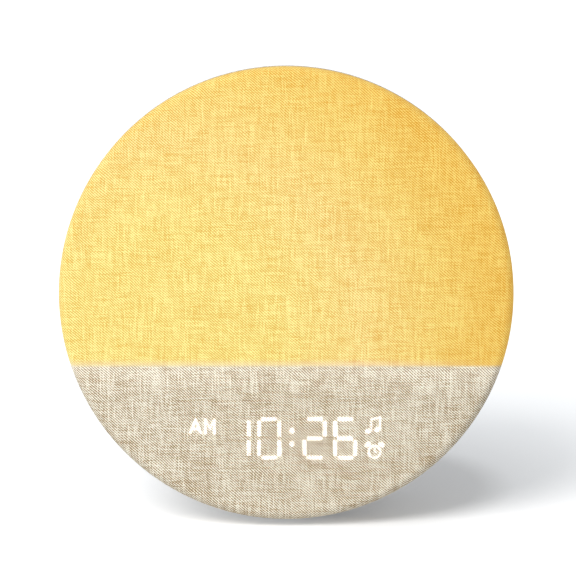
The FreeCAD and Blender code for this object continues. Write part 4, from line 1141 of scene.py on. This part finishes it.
# Painted light on the paper for the camera: least near the foot, so it also paints how the shadow fades.
away = vector_maths(tree, "DISTANCE", space.outputs["Object"], SHADOW_MIDDLE)
stops = [(share, (white, white, white, 1)) for share, white in PAINTED_FLOOR_LIFTS]
reach = colour_ramp(tree, maths(tree, "DIVIDE", away, LIFT_REACH), stops)
painted_floor_lift = maths(tree, "MULTIPLY", seen.outputs["Is Camera Ray"], reach)
tree.links.new(painted_floor_lift, shader.inputs["Emission Strength"])
shader.inputs["Emission Color"].default_value = LIFT_COLOUR
paper.data.materials.append(paper_finish)

world = bpy.context.scene.world or bpy.data.worlds.new("room")
bpy.context.scene.world = world
world.use_nodes = True
tree = world.node_tree
tree.nodes.clear()
seen = add_node(tree, "LightPath")
room = add_node(tree, "Background", {"Color": (0.97, 0.985, 1.0, 1), "Strength": 0.4})
white = add_node(tree, "Background", {"Color": (1, 1, 1, 1), "Strength": 1.0})
shown = maths(tree, "MAXIMUM", seen.outputs["Is Camera Ray"], seen.outputs["Is Transmission Ray"])
mixed = add_node(tree, "MixShader", {0: shown, 1: room.outputs[0], 2: white.outputs[0]})
leave = add_node(tree, "OutputWorld", {"Surface": mixed.outputs[0]})
print("room ready")

# %% [markdown]
# The lamp is as wide as a window, so its shadow has no hard edge. The camera stands well back with a long
# lens, looking down a little. At that distance the round face stays almost a circle, as in the photo.

# %% Lamp and camera
LAMP_PLACE = Vector((-0.46, -0.62, 0.88))
LAMP_POWER = 10.0
LAMP_WIDTH = 0.7
LAMP_COLOUR = (1.0, 0.985, 0.96)
CAMERA_DISTANCE = 1.3885
CAMERA_RISE = math.radians(14)
CAMERA_LENS = 220
AIM = FACE_CENTRE + Vector((0.7 * MM, 0, 2.9 * MM))

let_go()
bpy.ops.object.light_add(type="AREA", location=LAMP_PLACE)
lamp = bpy.context.object
lamp.name = "wide_lamp"
lamp.data.shape = "DISK"
lamp.data.size = LAMP_WIDTH
lamp.data.energy = LAMP_POWER
lamp.data.color = LAMP_COLOUR
lamp.rotation_euler = (FACE_CENTRE - LAMP_PLACE).to_track_quat("-Z", "Y").to_euler()

camera_place = AIM + CAMERA_DISTANCE * Vector((0, -math.cos(CAMERA_RISE), math.sin(CAMERA_RISE)))
let_go()
bpy.ops.object.camera_add(location=camera_place)
camera = bpy.context.object
camera.name = "camera"
camera.data.lens = CAMERA_LENS
camera.data.sensor_width = 36
camera.rotation_euler = (AIM - camera_place).to_track_quat("-Z", "Y").to_euler()
bpy.context.scene.camera = camera
bpy.context.scene.view_settings.view_transform = "Standard"
print("camera", [round(c, 3) for c in camera_place])
